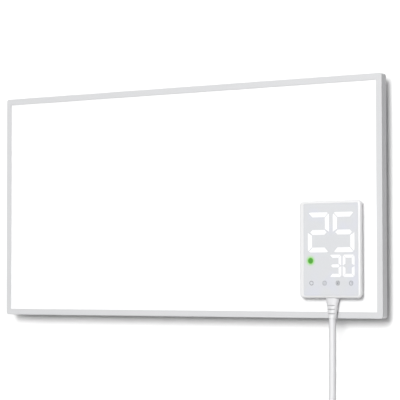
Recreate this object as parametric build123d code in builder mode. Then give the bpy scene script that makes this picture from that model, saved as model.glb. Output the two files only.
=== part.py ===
from build123d import *
from math import cos, degrees, radians, sin, tan
import os

# Infrared panel heater: a slim framed heating panel on two wall brackets, with a control unit on
# its front and a mains lead.
#
# Millimetres. The wall is the plane Y = 0 and the heater faces -Y, with +X to the right seen from
# the front and +Z up. The origin is the middle of the four wall screw holes. A name that ends in
# "out" is a distance from the wall, so a face at out = 32 lies at Y = -32.

os.makedirs("parts", exist_ok=True)

# ---------------------------------------------------------------------------------------------
# Driving dimensions
# ---------------------------------------------------------------------------------------------

# heating panel
panel_width = 600.0
panel_height = 300.0
panel_depth = 11.0
wall_gap = 22.0

# frame bars: a closed chamber outside, lips in front of and behind the sheets
front_lip_width = 8.0
front_lip_thickness = 1.0
back_lip_width = 14.0
back_lip_thickness = 1.2
bar_wall = 1.2
chamber_width = 3.2
web_thickness = 1.0
frame_corner_radius = 3.5
frame_edge_round = 0.5
key_leg = 30.0
key_clearance = 0.2

# sheets in the frame, front to back; the insulation pad fills what is left
sheet_clearance = 0.3
front_plate_thickness = 1.0
heating_board_thickness = 1.0
track_thickness = 0.2
film_thickness = 0.4
foil_thickness = 0.2
back_cover_thickness = 0.8

# carbon track on the heating board
track_width = 4.0
track_pitch = 16.0
track_margin = 14.0
track_keep_out = 8.0

# wall brackets and the hangers that drop into them
hole_spacing_x = 340.0
hole_spacing_z = 140.0
wall_hole_diameter = 5.5
bracket_width = 32.0
bracket_height = 176.0
bracket_thickness = 2.0
bracket_corner = 4.0
hook_width = 20.0
hook_pocket = 8.0
hook_height = 12.0
upper_hook_z = 42.0
lower_hook_z = -60.0
window_margin = 1.0
fold_radius = 1.5
hanger_width = 28.0
hanger_thickness = 2.0
hanger_foot = 26.0
hanger_side_clearance = 0.6
hanger_web_clearance = 0.5
lower_hanger_play = 1.0

# blind rivets
rivet_diameter = 3.2
rivet_head_diameter = 6.2
rivet_head_height = 1.0
rivet_tail_diameter = 4.6
rivet_tail_height = 1.2
rivet_clearance = 0.05
rivet_pocket_clearance = 0.7
frame_rivet_inset = 10.5
frame_rivet_end = 30.0
frame_rivets_wide = 5
frame_rivets_high = 2
hanger_rivet_spacing = 16.0
hanger_rivet_height = 15.0

# control unit on the front plate: a shallow cover stands out past a narrower base
unit_width = 87.6
unit_height = 120.3
unit_depth = 13.0
unit_side_margin = 23.8
unit_bottom_margin = 24.7
unit_corner_radius = 5.0
unit_edge_round = 3.0
cap_depth = 4.5
cap_wall = 3.0
cap_front = 1.6
cap_clearance = 0.2
base_floor = 2.0
base_wall = 1.8
base_play = 0.5
stud_diameter = 3.0
stud_length = 5.4
stud_spacing_x = 60.0
stud_spacing_z = 83.0
stud_shift_z = 3.5
stud_clearance = 0.2
base_nut_flats = 5.5
base_nut_height = 2.4

# display lens and what shows through it
lens_margin = 3.3
lens_left_margin = 6.4
lens_right_margin = 3.2
lens_thickness = 0.8
lens_corner_radius = 1.8
lens_clearance = 0.1
layout_shift = 2.1
large_digit_width = 30.7
large_digit_height = 49.4
large_digit_gap = 5.3
large_digit_stroke = 6.0
large_digit_round = 4.5
large_digit_z = 21.2
small_digit_width = 16.8
small_digit_height = 27.3
small_digit_gap = 2.0
small_digit_stroke = 3.9
small_digit_round = 2.8
small_digit_z = -20.2
large_segment_gap = 0.6
small_segment_gap = 0.35
status_diameter = 7.0
status_x = -27.4
status_z = -13.8
icon_diameter = 5.6
icon_line = 0.6
icon_depth = 0.3
icon_pitch = 18.9
icon_z = -41.4

# display board
board_thickness = 1.2
display_board_height_over_floor = 4.0
display_board_clearance = 0.5
display_board_bottom = 10.0
board_notch_width = 8.4
board_notch_height = 11.0
module_height = 4.0
module_margin = 0.9
well_depth = 2.0
touch_pad_diameter = 6.0
touch_pad_gap = 0.2
boss_diameter = 6.0
boss_inset = 3.0

# the small screws that hold the junction lid and both boards
screw_shank = 2.6
screw_head = 5.0
screw_head_height = 1.8
screw_length = 6.0
screw_hole_clearance = 0.2

# junction box behind the control unit
box_width = 72.0
box_height = 84.0
box_wall = 2.0
box_floor = 1.6
box_corner_radius = 4.0
box_wall_clearance = 4.0
lid_thickness = 1.6
lid_boss_diameter = 7.0
lid_boss_inset = 6.5
box_rivet_spacing_x = 28.0
box_rivet_spacing_z = 71.0

# power board in the junction box, measured from the box's middle
power_board_left = -31.0
power_board_right = 17.0
power_board_bottom = -18.0
power_board_top = 30.0
power_board_thickness = 1.6
power_board_standoff = 4.0
power_board_screw_inset = 4.0
power_board_terminal_inset = 12.0

# ways through the panel, measured from the unit's middle
sleeve_x = 0.0
sleeve_z = -26.0
sleeve_bore = 9.0
sleeve_wall = 1.5
sleeve_flange = 16.0
sleeve_flange_thickness = 1.2
sleeve_clearance = 0.1
grommet_x = 27.0
grommet_z = 21.5
grommet_diameter = 12.4
grommet_bore = 9.0
grommet_lip = 1.2
earth_x = 24.0
earth_z = -28.6
earth_stud_diameter = 4.0
earth_stud_length = 11.0
cutout_z = 5.5
cutout_size = (7.0, 15.0, 3.2)

# strain relief and mains lead
relief_shift = 0.0
relief_height_over_plate = 6.6
relief_collar = (19.0, 10.4)
relief_collar_end = (16.8, 9.8)
relief_collar_length = 5.7
relief_body = (15.8, 9.4)
relief_body_tuck = 0.5
relief_end_diameter = 10.2
relief_length = 24.6
relief_neck = (15.0, 8.6)
relief_flange = (20.0, 8.8)
relief_flange_thickness = 2.5
relief_clearance = 0.2
groove_height = 1.3
groove_depth = 1.7
groove_width = 10.6
cord_diameter = 9.0
core_diameter = 2.2
lead_diameter = 2.0

# the mains lead's route, measured from the strain relief's end, and its put-away coil
cord_route = [
    (0.0, 0.0, 0.0),
    (0.0, 0.0, -59.5),
    (-0.6, 0.0, -119.5),
    (-16.4, 0.0, -146.4),
    (-39.0, 0.0, -160.3),
]
coil_drop = 205.9
coil_mean_radius = 50.0
coil_turns_wide = 3
coil_turns_deep = 2
coil_corner = 4.0
tail_length = 38.0
tie_angle = 152.0
tie_width = 14.0
tie_thickness = 1.3

# plug with two round pins and side earth contacts
plug_sleeve = (11.0, 15.0, 22.0)
plug_grip_diameter = 32.0
plug_grip_length = 20.0
plug_body_diameter = 36.6
plug_body_length = 17.0
plug_notch = (5.2, 3.0)
pin_diameter = 4.8
pin_length = 19.0
pin_spacing = 19.0
pin_tip_round = 1.8
contact_width = 4.6
contact_thickness = 0.8
contact_recess = 2.0

# ---------------------------------------------------------------------------------------------
# Derived places
# ---------------------------------------------------------------------------------------------

front_out = wall_gap + panel_depth
plate_out = front_out - front_lip_thickness
board_front_out = plate_out - front_plate_thickness
track_front_out = board_front_out - heating_board_thickness
film_front_out = track_front_out - track_thickness
pad_front_out = film_front_out - film_thickness
cover_back_out = wall_gap + back_lip_thickness
cover_front_out = cover_back_out + back_cover_thickness
foil_front_out = cover_front_out + foil_thickness

sheet_edge = bar_wall + chamber_width + web_thickness + sheet_clearance
sheet_width = panel_width - 2 * sheet_edge
sheet_height = panel_height - 2 * sheet_edge

unit_x = panel_width / 2 - unit_side_margin - unit_width / 2
unit_z = -panel_height / 2 + unit_bottom_margin + unit_height / 2
face_out = plate_out + unit_depth
cap_back_out = face_out - cap_depth
cap_inner_out = face_out - cap_front
base_rim_out = cap_inner_out - base_play
base_inset = cap_wall + cap_clearance
base_inner_inset = base_inset + base_wall
lens_back_out = face_out - lens_thickness
display_board_out = plate_out + base_floor + display_board_height_over_floor
display_board_front_out = display_board_out + board_thickness

lid_back_out = box_wall_clearance
box_rim_out = lid_back_out + lid_thickness
box_inner_out = cover_back_out - box_floor
power_board_front_out = box_inner_out - power_board_standoff
power_board_back_out = power_board_front_out - power_board_thickness

sleeve_hole = sleeve_bore + 2 * sleeve_wall + 2 * sleeve_clearance
relief_x = unit_x + relief_shift
relief_y = -(plate_out + relief_height_over_plate)
unit_bottom = unit_z - unit_height / 2
relief_end_z = unit_bottom - relief_length
relief_neck_length = base_inner_inset + relief_clearance

hanger_x = hole_spacing_x / 2
signs = (-1, 1)


def wall_plane(out: float) -> Plane:
    """Sketch plane parallel to the wall at a distance from it, facing the room."""
    return Plane.XZ.offset(out)


def unit_plane(out: float) -> Plane:
    """The same plane with its origin on the control unit's middle axis."""
    return Plane(origin=(unit_x, -out, unit_z), x_dir=(1, 0, 0), z_dir=(0, -1, 0))


def from_unit(x: float, out: float, z: float) -> tuple:
    """A point measured from the unit's middle, in the heater's own frame."""
    return (unit_x + x, -out, unit_z + z)


def spread(count: int, length: float) -> list:
    """Evenly spaced places along a length, centred on zero."""
    return [length * (k / (count - 1) - 0.5) for k in range(count)]


def save(name: str, piece: BuildPart) -> None:
    """Label a finished piece and write it."""
    piece.part.label = name
    export_step(piece.part, f"parts/{name}.step")


# ---------------------------------------------------------------------------------------------
# Fastener places shared by several pieces
# ---------------------------------------------------------------------------------------------

frame_rivets = [
    (x, side * (panel_height / 2 - frame_rivet_inset))
    for side in signs
    for x in spread(frame_rivets_wide, panel_width - 2 * frame_rivet_end)
] + [
    (side * (panel_width / 2 - frame_rivet_inset), z)
    for side in signs
    for z in spread(frame_rivets_high, panel_height / 2)
]


def hanger_web_z(hook_z: float) -> float:
    """Underside of the web of the hanger that serves a hook."""
    return hook_z + hook_height + hanger_web_clearance


hanger_rivets = [
    (side * hanger_x + shift * hanger_rivet_spacing / 2, hanger_web_z(hook_z) + hanger_rivet_height)
    for side in signs
    for hook_z in (upper_hook_z, lower_hook_z)
    for shift in signs
]
box_rivets = [
    (unit_x + i * box_rivet_spacing_x / 2, unit_z + k * box_rivet_spacing_z / 2)
    for i in signs
    for k in signs
]
hanger_foot_out = cover_back_out - hanger_thickness
stud_places = [
    (i * stud_spacing_x / 2, stud_shift_z + k * stud_spacing_z / 2) for i in signs for k in signs
]


def pass_holes(diameter: float, through: float) -> None:
    """Cut the sleeve's hole and the heater leads' hole out of the open sheet sketch."""
    with Locations((unit_x + sleeve_x, unit_z + sleeve_z)):
        Circle(diameter / 2, mode=Mode.SUBTRACT)
    if through:
        with Locations((unit_x + grommet_x, unit_z + grommet_z)):
            Circle(through / 2, mode=Mode.SUBTRACT)


def rivet_holes(diameter: float) -> None:
    """Cut every rivet's hole out of the open sheet sketch."""
    with Locations(*frame_rivets, *hanger_rivets, *box_rivets):
        Circle(diameter / 2, mode=Mode.SUBTRACT)


# ---------------------------------------------------------------------------------------------
# Frame bars and corner keys
# ---------------------------------------------------------------------------------------------

with BuildPart() as frame_ring:
    with BuildSketch(wall_plane(wall_gap)):
        RectangleRounded(panel_width, panel_height, frame_corner_radius)
        Rectangle(panel_width - 2 * bar_wall, panel_height - 2 * bar_wall, mode=Mode.SUBTRACT)
    extrude(amount=panel_depth)
    web_edge = bar_wall + chamber_width
    inner_edge = web_edge + web_thickness
    with BuildSketch(wall_plane(wall_gap)):
        Rectangle(panel_width - 2 * web_edge, panel_height - 2 * web_edge)
        Rectangle(
            panel_width - 2 * inner_edge, panel_height - 2 * inner_edge, mode=Mode.SUBTRACT
        )
    extrude(amount=panel_depth)
    with BuildSketch(wall_plane(wall_gap)):
        RectangleRounded(panel_width, panel_height, frame_corner_radius)
        Rectangle(
            panel_width - 2 * back_lip_width,
            panel_height - 2 * back_lip_width,
            mode=Mode.SUBTRACT,
        )
        with Locations(*frame_rivets):
            Circle(rivet_diameter / 2 + rivet_clearance, mode=Mode.SUBTRACT)
    extrude(amount=back_lip_thickness)
    with BuildSketch(wall_plane(plate_out)):
        RectangleRounded(panel_width, panel_height, frame_corner_radius)
        Rectangle(
            panel_width - 2 * front_lip_width,
            panel_height - 2 * front_lip_width,
            mode=Mode.SUBTRACT,
        )
    extrude(amount=front_lip_thickness)
    front_face = frame_ring.faces().sort_by(Axis.Y)[0]
    fillet(front_face.outer_wire().edges(), frame_edge_round)


def mitred_bar(turned: bool, side: int) -> BuildPart:
    """One bar of the frame, cut at 45 degrees at both ends."""
    length, across = (panel_height, panel_width) if turned else (panel_width, panel_height)
    depth = 2 * back_lip_width
    corners = [
        (-length / 2, side * across / 2),
        (length / 2, side * across / 2),
        (length / 2 - depth, side * (across / 2 - depth)),
        (-length / 2 + depth, side * (across / 2 - depth)),
    ]
    if turned:
        corners = [(z, x) for x, z in corners]
    with BuildPart() as bar:
        add(frame_ring.part)
        with BuildSketch(wall_plane(wall_gap)):
            with BuildLine():
                Polyline(*corners, close=True)
            make_face()
        extrude(amount=panel_depth, mode=Mode.INTERSECT)
    return bar


save("frame_top", mitred_bar(turned=False, side=1))
save("frame_bottom", mitred_bar(turned=False, side=-1))
save("frame_left", mitred_bar(turned=True, side=-1))
save("frame_right", mitred_bar(turned=True, side=1))

with BuildPart() as corner_keys:
    key_width = chamber_width - 2 * key_clearance
    key_edge = bar_wall + key_clearance
    with BuildSketch(wall_plane(cover_back_out + key_clearance)):
        for i in signs:
            for k in signs:
                corner_x = i * (panel_width / 2 - key_edge)
                corner_z = k * (panel_height / 2 - key_edge)
                with Locations((corner_x - i * key_leg / 2, corner_z - k * key_width / 2)):
                    Rectangle(key_leg, key_width)
                with Locations((corner_x - i * key_width / 2, corner_z - k * key_leg / 2)):
                    Rectangle(key_width, key_leg)
    extrude(amount=plate_out - cover_back_out - 2 * key_clearance)
save("corner_keys", corner_keys)

# ---------------------------------------------------------------------------------------------
# Sheets in the frame
# ---------------------------------------------------------------------------------------------

with BuildPart() as front_plate:
    with BuildSketch(wall_plane(board_front_out)):
        Rectangle(sheet_width, sheet_height)
        pass_holes(sleeve_hole, 0)
    extrude(amount=front_plate_thickness)
    with BuildSketch(unit_plane(plate_out)):
        with Locations(*stud_places):
            Circle(stud_diameter / 2)
    extrude(amount=stud_length)
save("front_plate", front_plate)

with BuildPart() as heating_board:
    with BuildSketch(wall_plane(track_front_out)):
        Rectangle(sheet_width, sheet_height)
        pass_holes(sleeve_hole, 0)
    extrude(amount=heating_board_thickness)
save("heating_board", heating_board)


def track_route() -> list:
    """Centre line of the carbon track: up and down the board, clear of the control unit."""
    left = -sheet_width / 2 + track_margin
    right = sheet_width / 2 - track_margin
    top = sheet_height / 2 - track_margin
    bottom = -sheet_height / 2 + track_margin
    first_x = left + track_pitch / 2
    unit_left = unit_x - unit_width / 2 - track_keep_out
    unit_top = unit_z + unit_height / 2 + track_keep_out
    terminal_x = unit_x + grommet_x
    upper_terminal = unit_z + grommet_z + grommet_bore / 3
    lower_terminal = unit_z + grommet_z - grommet_bore / 3
    route = [(terminal_x, lower_terminal), (terminal_x, lower_terminal - track_margin)]
    route += [(right, lower_terminal - track_margin), (right, bottom), (left, bottom), (left, top)]
    pairs = int((right - first_x - 2 * track_width) / (2 * track_pitch))
    for number in range(2 * pairs + 1):
        x = first_x + number * track_pitch
        pair_x = first_x + (2 * (number // 2) + 1) * track_pitch
        foot = bottom + track_margin if pair_x < unit_left else unit_top
        route += [(x, top), (x, foot)] if number % 2 == 0 else [(x, foot), (x, top)]
    return route + [(right, unit_top), (right, upper_terminal), (terminal_x, upper_terminal)]


with BuildPart() as heating_track:
    with BuildSketch(wall_plane(film_front_out)):
        track_points = track_route()
        for (x, z), (next_x, next_z) in zip(track_points, track_points[1:]):
            with Locations(((x + next_x) / 2, (z + next_z) / 2)):
                Rectangle(abs(next_x - x) + track_width, abs(next_z - z) + track_width)
    extrude(amount=track_thickness)
save("heating_track", heating_track)

with BuildPart() as insulation_film:
    with BuildSketch(wall_plane(pad_front_out)):
        Rectangle(sheet_width, sheet_height)
        pass_holes(sleeve_hole, grommet_bore)
    extrude(amount=film_thickness)
save("insulation_film", insulation_film)

with BuildPart() as insulation_pad:
    with BuildSketch(wall_plane(foil_front_out)):
        Rectangle(sheet_width, sheet_height)
        pass_holes(sleeve_hole, grommet_bore)
    extrude(amount=pad_front_out - foil_front_out)
    with BuildSketch(wall_plane(foil_front_out)):
        with Locations(*frame_rivets, *hanger_rivets, *box_rivets):
            Circle(rivet_tail_diameter / 2 + rivet_pocket_clearance)
    extrude(amount=rivet_tail_height + rivet_pocket_clearance, mode=Mode.SUBTRACT)
save("insulation_pad", insulation_pad)

with BuildPart() as reflector_foil:
    with BuildSketch(wall_plane(cover_front_out)):
        Rectangle(sheet_width, sheet_height)
        pass_holes(sleeve_hole, grommet_bore)
        rivet_holes(rivet_tail_diameter + 2 * rivet_pocket_clearance)
    extrude(amount=foil_thickness)
save("reflector_foil", reflector_foil)

with BuildPart() as back_cover:
    with BuildSketch(wall_plane(cover_back_out)):
        Rectangle(sheet_width, sheet_height)
        pass_holes(sleeve_hole, grommet_bore)
        rivet_holes(rivet_diameter + 2 * rivet_clearance)
    extrude(amount=back_cover_thickness)
    with BuildSketch(unit_plane(cover_back_out)):
        with Locations((earth_x, earth_z)):
            Circle(earth_stud_diameter / 2)
    extrude(amount=-earth_stud_length)
save("back_cover", back_cover)

# ---------------------------------------------------------------------------------------------
# Wall brackets, hangers and rivets
# ---------------------------------------------------------------------------------------------


def wall_bracket(x: float) -> BuildPart:
    """A folded strip with two lanced hooks that open upwards, and a screw hole at each end."""
    with BuildPart() as bracket:
        with BuildSketch(wall_plane(0)):
            with Locations((x, 0)):
                RectangleRounded(bracket_width, bracket_height, bracket_corner)
            with Locations((x, hole_spacing_z / 2), (x, -hole_spacing_z / 2)):
                Circle(wall_hole_diameter / 2, mode=Mode.SUBTRACT)
            window_height = hook_pocket + hook_height
            for hook_z in (upper_hook_z, lower_hook_z):
                with Locations((x, hook_z + window_height / 2)):
                    Rectangle(hook_width + 2 * window_margin, window_height, mode=Mode.SUBTRACT)
        extrude(amount=bracket_thickness)
        half = bracket_thickness / 2
        upright_y = -(bracket_thickness + hook_pocket + half)
        for hook_z in (upper_hook_z, lower_hook_z):
            with BuildSketch(Plane.YZ.offset(x - hook_width / 2)):
                with BuildLine():
                    FilletPolyline(
                        (-half, hook_z - half),
                        (upright_y, hook_z - half),
                        (upright_y, hook_z + hook_height),
                        radius=fold_radius,
                    )
                trace(line_width=bracket_thickness)
            extrude(amount=hook_width)
    return bracket


def hanger(x: float, hook_z: float, play: float) -> BuildPart:
    """A folded hanger: a foot on the back cover, a web over the hook and a leg into its pocket."""
    half = hanger_thickness / 2
    web_z = hanger_web_z(hook_z) + half
    foot_y = -(hanger_foot_out + half)
    leg_y = -(bracket_thickness + hook_pocket - hanger_side_clearance - half)
    with BuildPart() as folded:
        with BuildSketch(Plane.YZ.offset(x - hanger_width / 2)):
            with BuildLine():
                FilletPolyline(
                    (foot_y, web_z + hanger_foot),
                    (foot_y, web_z),
                    (leg_y, web_z),
                    (leg_y, hook_z + play),
                    radius=fold_radius,
                )
            trace(line_width=hanger_thickness)
        extrude(amount=hanger_width)
        with BuildSketch(wall_plane(hanger_foot_out)):
            with Locations(*hanger_rivets):
                Circle(rivet_diameter / 2 + rivet_clearance)
        extrude(amount=hanger_thickness, mode=Mode.SUBTRACT)
    return folded


for side, side_name in zip(signs, ("left", "right")):
    save(f"wall_bracket_{side_name}", wall_bracket(side * hanger_x))
    save(f"hanger_top_{side_name}", hanger(side * hanger_x, upper_hook_z, 0.0))
    save(f"hanger_bottom_{side_name}", hanger(side * hanger_x, lower_hook_z, lower_hanger_play))


def blind_rivet(grip: float) -> Part:
    """A set rivet on the Z axis: tail below zero, shank through the grip, domed head on top."""
    with BuildPart() as rivet:
        Cylinder(rivet_diameter / 2, grip, align=(Align.CENTER, Align.CENTER, Align.MIN))
        with Locations((0, 0, grip)):
            Cylinder(
                rivet_head_diameter / 2,
                rivet_head_height,
                align=(Align.CENTER, Align.CENTER, Align.MIN),
            )
        fillet(rivet.edges().sort_by(Axis.Z)[-1], rivet_head_height * 0.7)
        Cylinder(
            rivet_tail_diameter / 2,
            rivet_tail_height,
            align=(Align.CENTER, Align.CENTER, Align.MAX),
        )
    return rivet.part


with BuildPart() as blind_rivets:
    for places, seat_out in (
        (frame_rivets, wall_gap),
        (hanger_rivets, hanger_foot_out),
        (box_rivets, box_inner_out),
    ):
        one_rivet = blind_rivet(cover_front_out - seat_out)
        for x, z in places:
            with Locations(Location((x, -cover_front_out, z), (-90, 0, 0))):
                add(one_rivet)
save("blind_rivets", blind_rivets)

# ---------------------------------------------------------------------------------------------
# Junction box
# ---------------------------------------------------------------------------------------------

lid_boss_places = [
    (i * (box_width / 2 - lid_boss_inset), k * (box_height / 2 - lid_boss_inset))
    for i in signs
    for k in signs
]
power_screw_low = power_board_bottom + power_board_screw_inset
power_screw_high = power_board_top - power_board_screw_inset
power_screw_places = [
    (power_board_left + power_board_screw_inset, power_screw_low),
    (power_board_left + power_board_screw_inset, power_screw_high),
    (power_board_right - power_board_screw_inset, power_screw_low),
    (power_board_right - power_board_terminal_inset, power_screw_high),
]

with BuildPart() as junction_box:
    with BuildSketch(unit_plane(box_rim_out)):
        RectangleRounded(box_width, box_height, box_corner_radius)
    extrude(amount=cover_back_out - box_rim_out)
    with BuildSketch(unit_plane(box_rim_out)):
        RectangleRounded(
            box_width - 2 * box_wall, box_height - 2 * box_wall, box_corner_radius - box_wall
        )
    extrude(amount=box_inner_out - box_rim_out, mode=Mode.SUBTRACT)
    with BuildSketch(unit_plane(box_rim_out)):
        with Locations(*lid_boss_places):
            Circle(lid_boss_diameter / 2)
    extrude(amount=box_inner_out - box_rim_out)
    with BuildSketch(unit_plane(power_board_front_out)):
        with Locations(*power_screw_places):
            Circle(boss_diameter / 2)
    extrude(amount=power_board_standoff)
    with BuildSketch(unit_plane(box_rim_out)):
        with Locations(*lid_boss_places):
            Circle(screw_shank / 2)
    extrude(amount=screw_length - lid_thickness, mode=Mode.SUBTRACT)
    with BuildSketch(unit_plane(power_board_front_out)):
        with Locations(*power_screw_places):
            Circle(screw_shank / 2)
    extrude(amount=screw_length - power_board_thickness, mode=Mode.SUBTRACT)
    with BuildSketch(unit_plane(box_inner_out)):
        with Locations((sleeve_x, sleeve_z)):
            Circle(sleeve_hole / 2)
        with Locations((grommet_x, grommet_z)):
            Circle(grommet_bore / 2)
        with Locations((earth_x, earth_z)):
            Circle(earth_stud_diameter / 2 + stud_clearance)
        with Locations((grommet_x, cutout_z)):
            Rectangle(cutout_size[0] + 2 * stud_clearance, cutout_size[1] + 2 * stud_clearance)
        with GridLocations(box_rivet_spacing_x, box_rivet_spacing_z, 2, 2):
            Circle(rivet_diameter / 2 + rivet_clearance)
    extrude(amount=box_floor, mode=Mode.SUBTRACT)
save("junction_box", junction_box)

with BuildPart() as junction_lid:
    with BuildSketch(unit_plane(lid_back_out)):
        RectangleRounded(box_width, box_height, box_corner_radius)
        with Locations(*lid_boss_places):
            Circle(screw_shank / 2 + screw_hole_clearance, mode=Mode.SUBTRACT)
    extrude(amount=lid_thickness)
    fillet(junction_lid.faces().sort_by(Axis.Y)[-1].outer_wire().edges(), lid_thickness * 0.5)
save("junction_lid", junction_lid)


with BuildPart() as power_board:
    board_width = power_board_right - power_board_left
    board_height = power_board_top - power_board_bottom
    with BuildSketch(unit_plane(power_board_back_out)):
        with Locations(
            (
                (power_board_left + power_board_right) / 2,
                (power_board_bottom + power_board_top) / 2,
            )
        ):
            Rectangle(board_width, board_height)
        with Locations(*power_screw_places):
            Circle(screw_shank / 2 + screw_hole_clearance, mode=Mode.SUBTRACT)
    extrude(amount=power_board_thickness)
save("power_board", power_board)


def on_power_board(x: float, z: float, size: tuple, edge: float) -> BuildPart:
    """A block-shaped component that stands on the power board, towards the wall."""
    width, length, height = size
    with BuildPart() as block:
        with BuildSketch(unit_plane(power_board_back_out - height)):
            with Locations((x, z)):
                Rectangle(width, length)
        extrude(amount=height)
        chamfer(block.faces().sort_by(Axis.Y)[-1].edges(), edge)
    return block


relay_size = (10.0, 20.0, 9.0)
supply_size = (17.0, 22.0, 9.2)
capacitor_size = (18.0, 6.0, 8.6)
mains_terminal_size = (10.0, 8.0, 8.6)
heater_terminal_size = (8.0, 25.0, 8.6)
terminal_pitch = 5.0
fuse_diameter = 5.2
fuse_length = 20.0
fuse_cap_length = 5.0
mains_terminal_x = 0.0
mains_terminal_z = power_board_bottom + mains_terminal_size[1] / 2
heater_terminal_x = power_board_right - heater_terminal_size[0] / 2
heater_terminal_z = 14.0

save("relay", on_power_board(-25.5, 8.0, relay_size, 0.5))
save("supply_module", on_power_board(-9.0, 12.0, supply_size, 0.6))
save("filter_capacitor", on_power_board(-12.0, 27.0 - capacitor_size[1] / 2 + 2.5, capacitor_size, 0.8))

with BuildPart() as fuse:
    fuse_out = power_board_back_out - fuse_diameter / 2
    with BuildSketch(Plane.YZ.offset(unit_x - 22.0)):
        with Locations((-fuse_out, unit_z - 5.5)):
            Circle(fuse_diameter / 2)
    extrude(amount=fuse_length)
    for end in (0, fuse_length - fuse_cap_length):
        with BuildSketch(Plane.YZ.offset(unit_x - 22.0 + end)):
            with Locations((-fuse_out, unit_z - 5.5)):
                Rectangle(fuse_diameter, fuse_diameter + 1.2)
        extrude(amount=fuse_cap_length)
save("fuse", fuse)

with BuildPart() as mains_terminal:
    add(on_power_board(mains_terminal_x, mains_terminal_z, mains_terminal_size, 0.4).part)
    with BuildSketch(unit_plane(power_board_back_out - mains_terminal_size[2])):
        with Locations(
            (mains_terminal_x - terminal_pitch / 2, mains_terminal_z),
            (mains_terminal_x + terminal_pitch / 2, mains_terminal_z),
        ):
            Circle(1.6)
    extrude(amount=1.5, mode=Mode.SUBTRACT)
save("mains_terminal", mains_terminal)

with BuildPart() as heater_terminal:
    add(on_power_board(heater_terminal_x, heater_terminal_z, heater_terminal_size, 0.4).part)
    with BuildSketch(unit_plane(power_board_back_out - heater_terminal_size[2])):
        with Locations((heater_terminal_x, heater_terminal_z)):
            with GridLocations(1, terminal_pitch, 1, 5):
                Circle(1.6)
    extrude(amount=1.5, mode=Mode.SUBTRACT)
save("heater_terminal", heater_terminal)

with BuildPart() as thermal_cutout:
    with BuildSketch(unit_plane(cover_back_out - cutout_size[2])):
        with Locations((grommet_x, cutout_z)):
            RectangleRounded(cutout_size[0], cutout_size[1], 1.2)
    extrude(amount=cutout_size[2])
    fillet(thermal_cutout.faces().sort_by(Axis.Y)[-1].edges(), 0.5)
save("thermal_cutout", thermal_cutout)

earth_nut_flats = 7.0
earth_nut_height = 3.2
ring_thickness = 0.8
ring_out = box_inner_out - earth_nut_height - ring_thickness
with BuildPart() as earth_terminal:
    for nut_out in (box_inner_out - earth_nut_height, ring_out - earth_nut_height):
        with BuildSketch(unit_plane(nut_out)):
            with Locations((earth_x, earth_z)):
                RegularPolygon(earth_nut_flats / 2, 6, major_radius=False)
                Circle(earth_stud_diameter / 2 + rivet_clearance, mode=Mode.SUBTRACT)
        extrude(amount=earth_nut_height)
    with BuildSketch(unit_plane(ring_out)):
        with Locations((earth_x, earth_z)):
            Circle(4.2)
        with Locations((earth_x - 5.0, earth_z)):
            Rectangle(5.0, 3.4)
        with Locations((earth_x, earth_z)):
            Circle(earth_stud_diameter / 2 + rivet_clearance, mode=Mode.SUBTRACT)
    extrude(amount=ring_thickness)
save("earth_terminal", earth_terminal)

# ---------------------------------------------------------------------------------------------
# Ways through the panel
# ---------------------------------------------------------------------------------------------

sleeve_front_out = plate_out + base_floor
with BuildPart() as feed_through:
    sleeve_radius = sleeve_bore / 2 + sleeve_wall
    with BuildSketch(unit_plane(box_inner_out - sleeve_flange_thickness)):
        with Locations((sleeve_x, sleeve_z)):
            Circle(sleeve_radius)
    extrude(amount=sleeve_front_out - box_inner_out + 2 * sleeve_flange_thickness)
    with BuildSketch(unit_plane(sleeve_front_out)):
        with Locations((sleeve_x, sleeve_z)):
            Circle(sleeve_flange / 2)
    extrude(amount=sleeve_flange_thickness)
    with BuildSketch(unit_plane(box_inner_out - sleeve_flange_thickness)):
        with Locations((sleeve_x, sleeve_z)):
            Circle(sleeve_bore / 2)
    extrude(
        amount=sleeve_front_out - box_inner_out + 2 * sleeve_flange_thickness, mode=Mode.SUBTRACT
    )
save("feed_through", feed_through)

with BuildPart() as lead_grommet:
    with BuildSketch(unit_plane(box_inner_out - grommet_lip)):
        with Locations((grommet_x, grommet_z)):
            Circle(grommet_diameter / 2)
    extrude(amount=grommet_lip)
    fillet(lead_grommet.faces().sort_by(Axis.Y)[-1].edges(), grommet_lip * 0.4)
    with BuildSketch(unit_plane(box_inner_out - grommet_lip)):
        with Locations((grommet_x, grommet_z)):
            Circle(grommet_bore / 2 - rivet_clearance)
    extrude(amount=cover_front_out - box_inner_out + grommet_lip)
    with BuildSketch(unit_plane(box_inner_out - grommet_lip)):
        with Locations((grommet_x, grommet_z)):
            SlotCenterToCenter(terminal_pitch, lead_diameter + 0.3, rotation=90)
    extrude(amount=cover_front_out - box_inner_out + grommet_lip, mode=Mode.SUBTRACT)
save("lead_grommet", lead_grommet)

# ---------------------------------------------------------------------------------------------
# Internal wires
# ---------------------------------------------------------------------------------------------


def wire(points: list, diameter: float, bends: list) -> Part:
    """A round wire along straight stretches joined by tangent arcs."""
    with BuildPart() as strand:
        with BuildLine() as path:
            FilletPolyline(*points, radius=bends)
        with BuildSketch(Plane(origin=path.line @ 0, z_dir=path.line % 0)):
            Circle(diameter / 2)
        sweep()
    return strand.part


flange_inner_z = -unit_height / 2 + relief_neck_length + relief_flange_thickness
relief_out = -relief_y
behind_board_out = display_board_out - core_diameter / 2 - 0.4
terminal_out = power_board_back_out - 4.4
core_bend = 2.2
core_step = 2.5
earth_drop = sleeve_z - earth_z
ring_barrel_x = earth_x - 7.5


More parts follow.
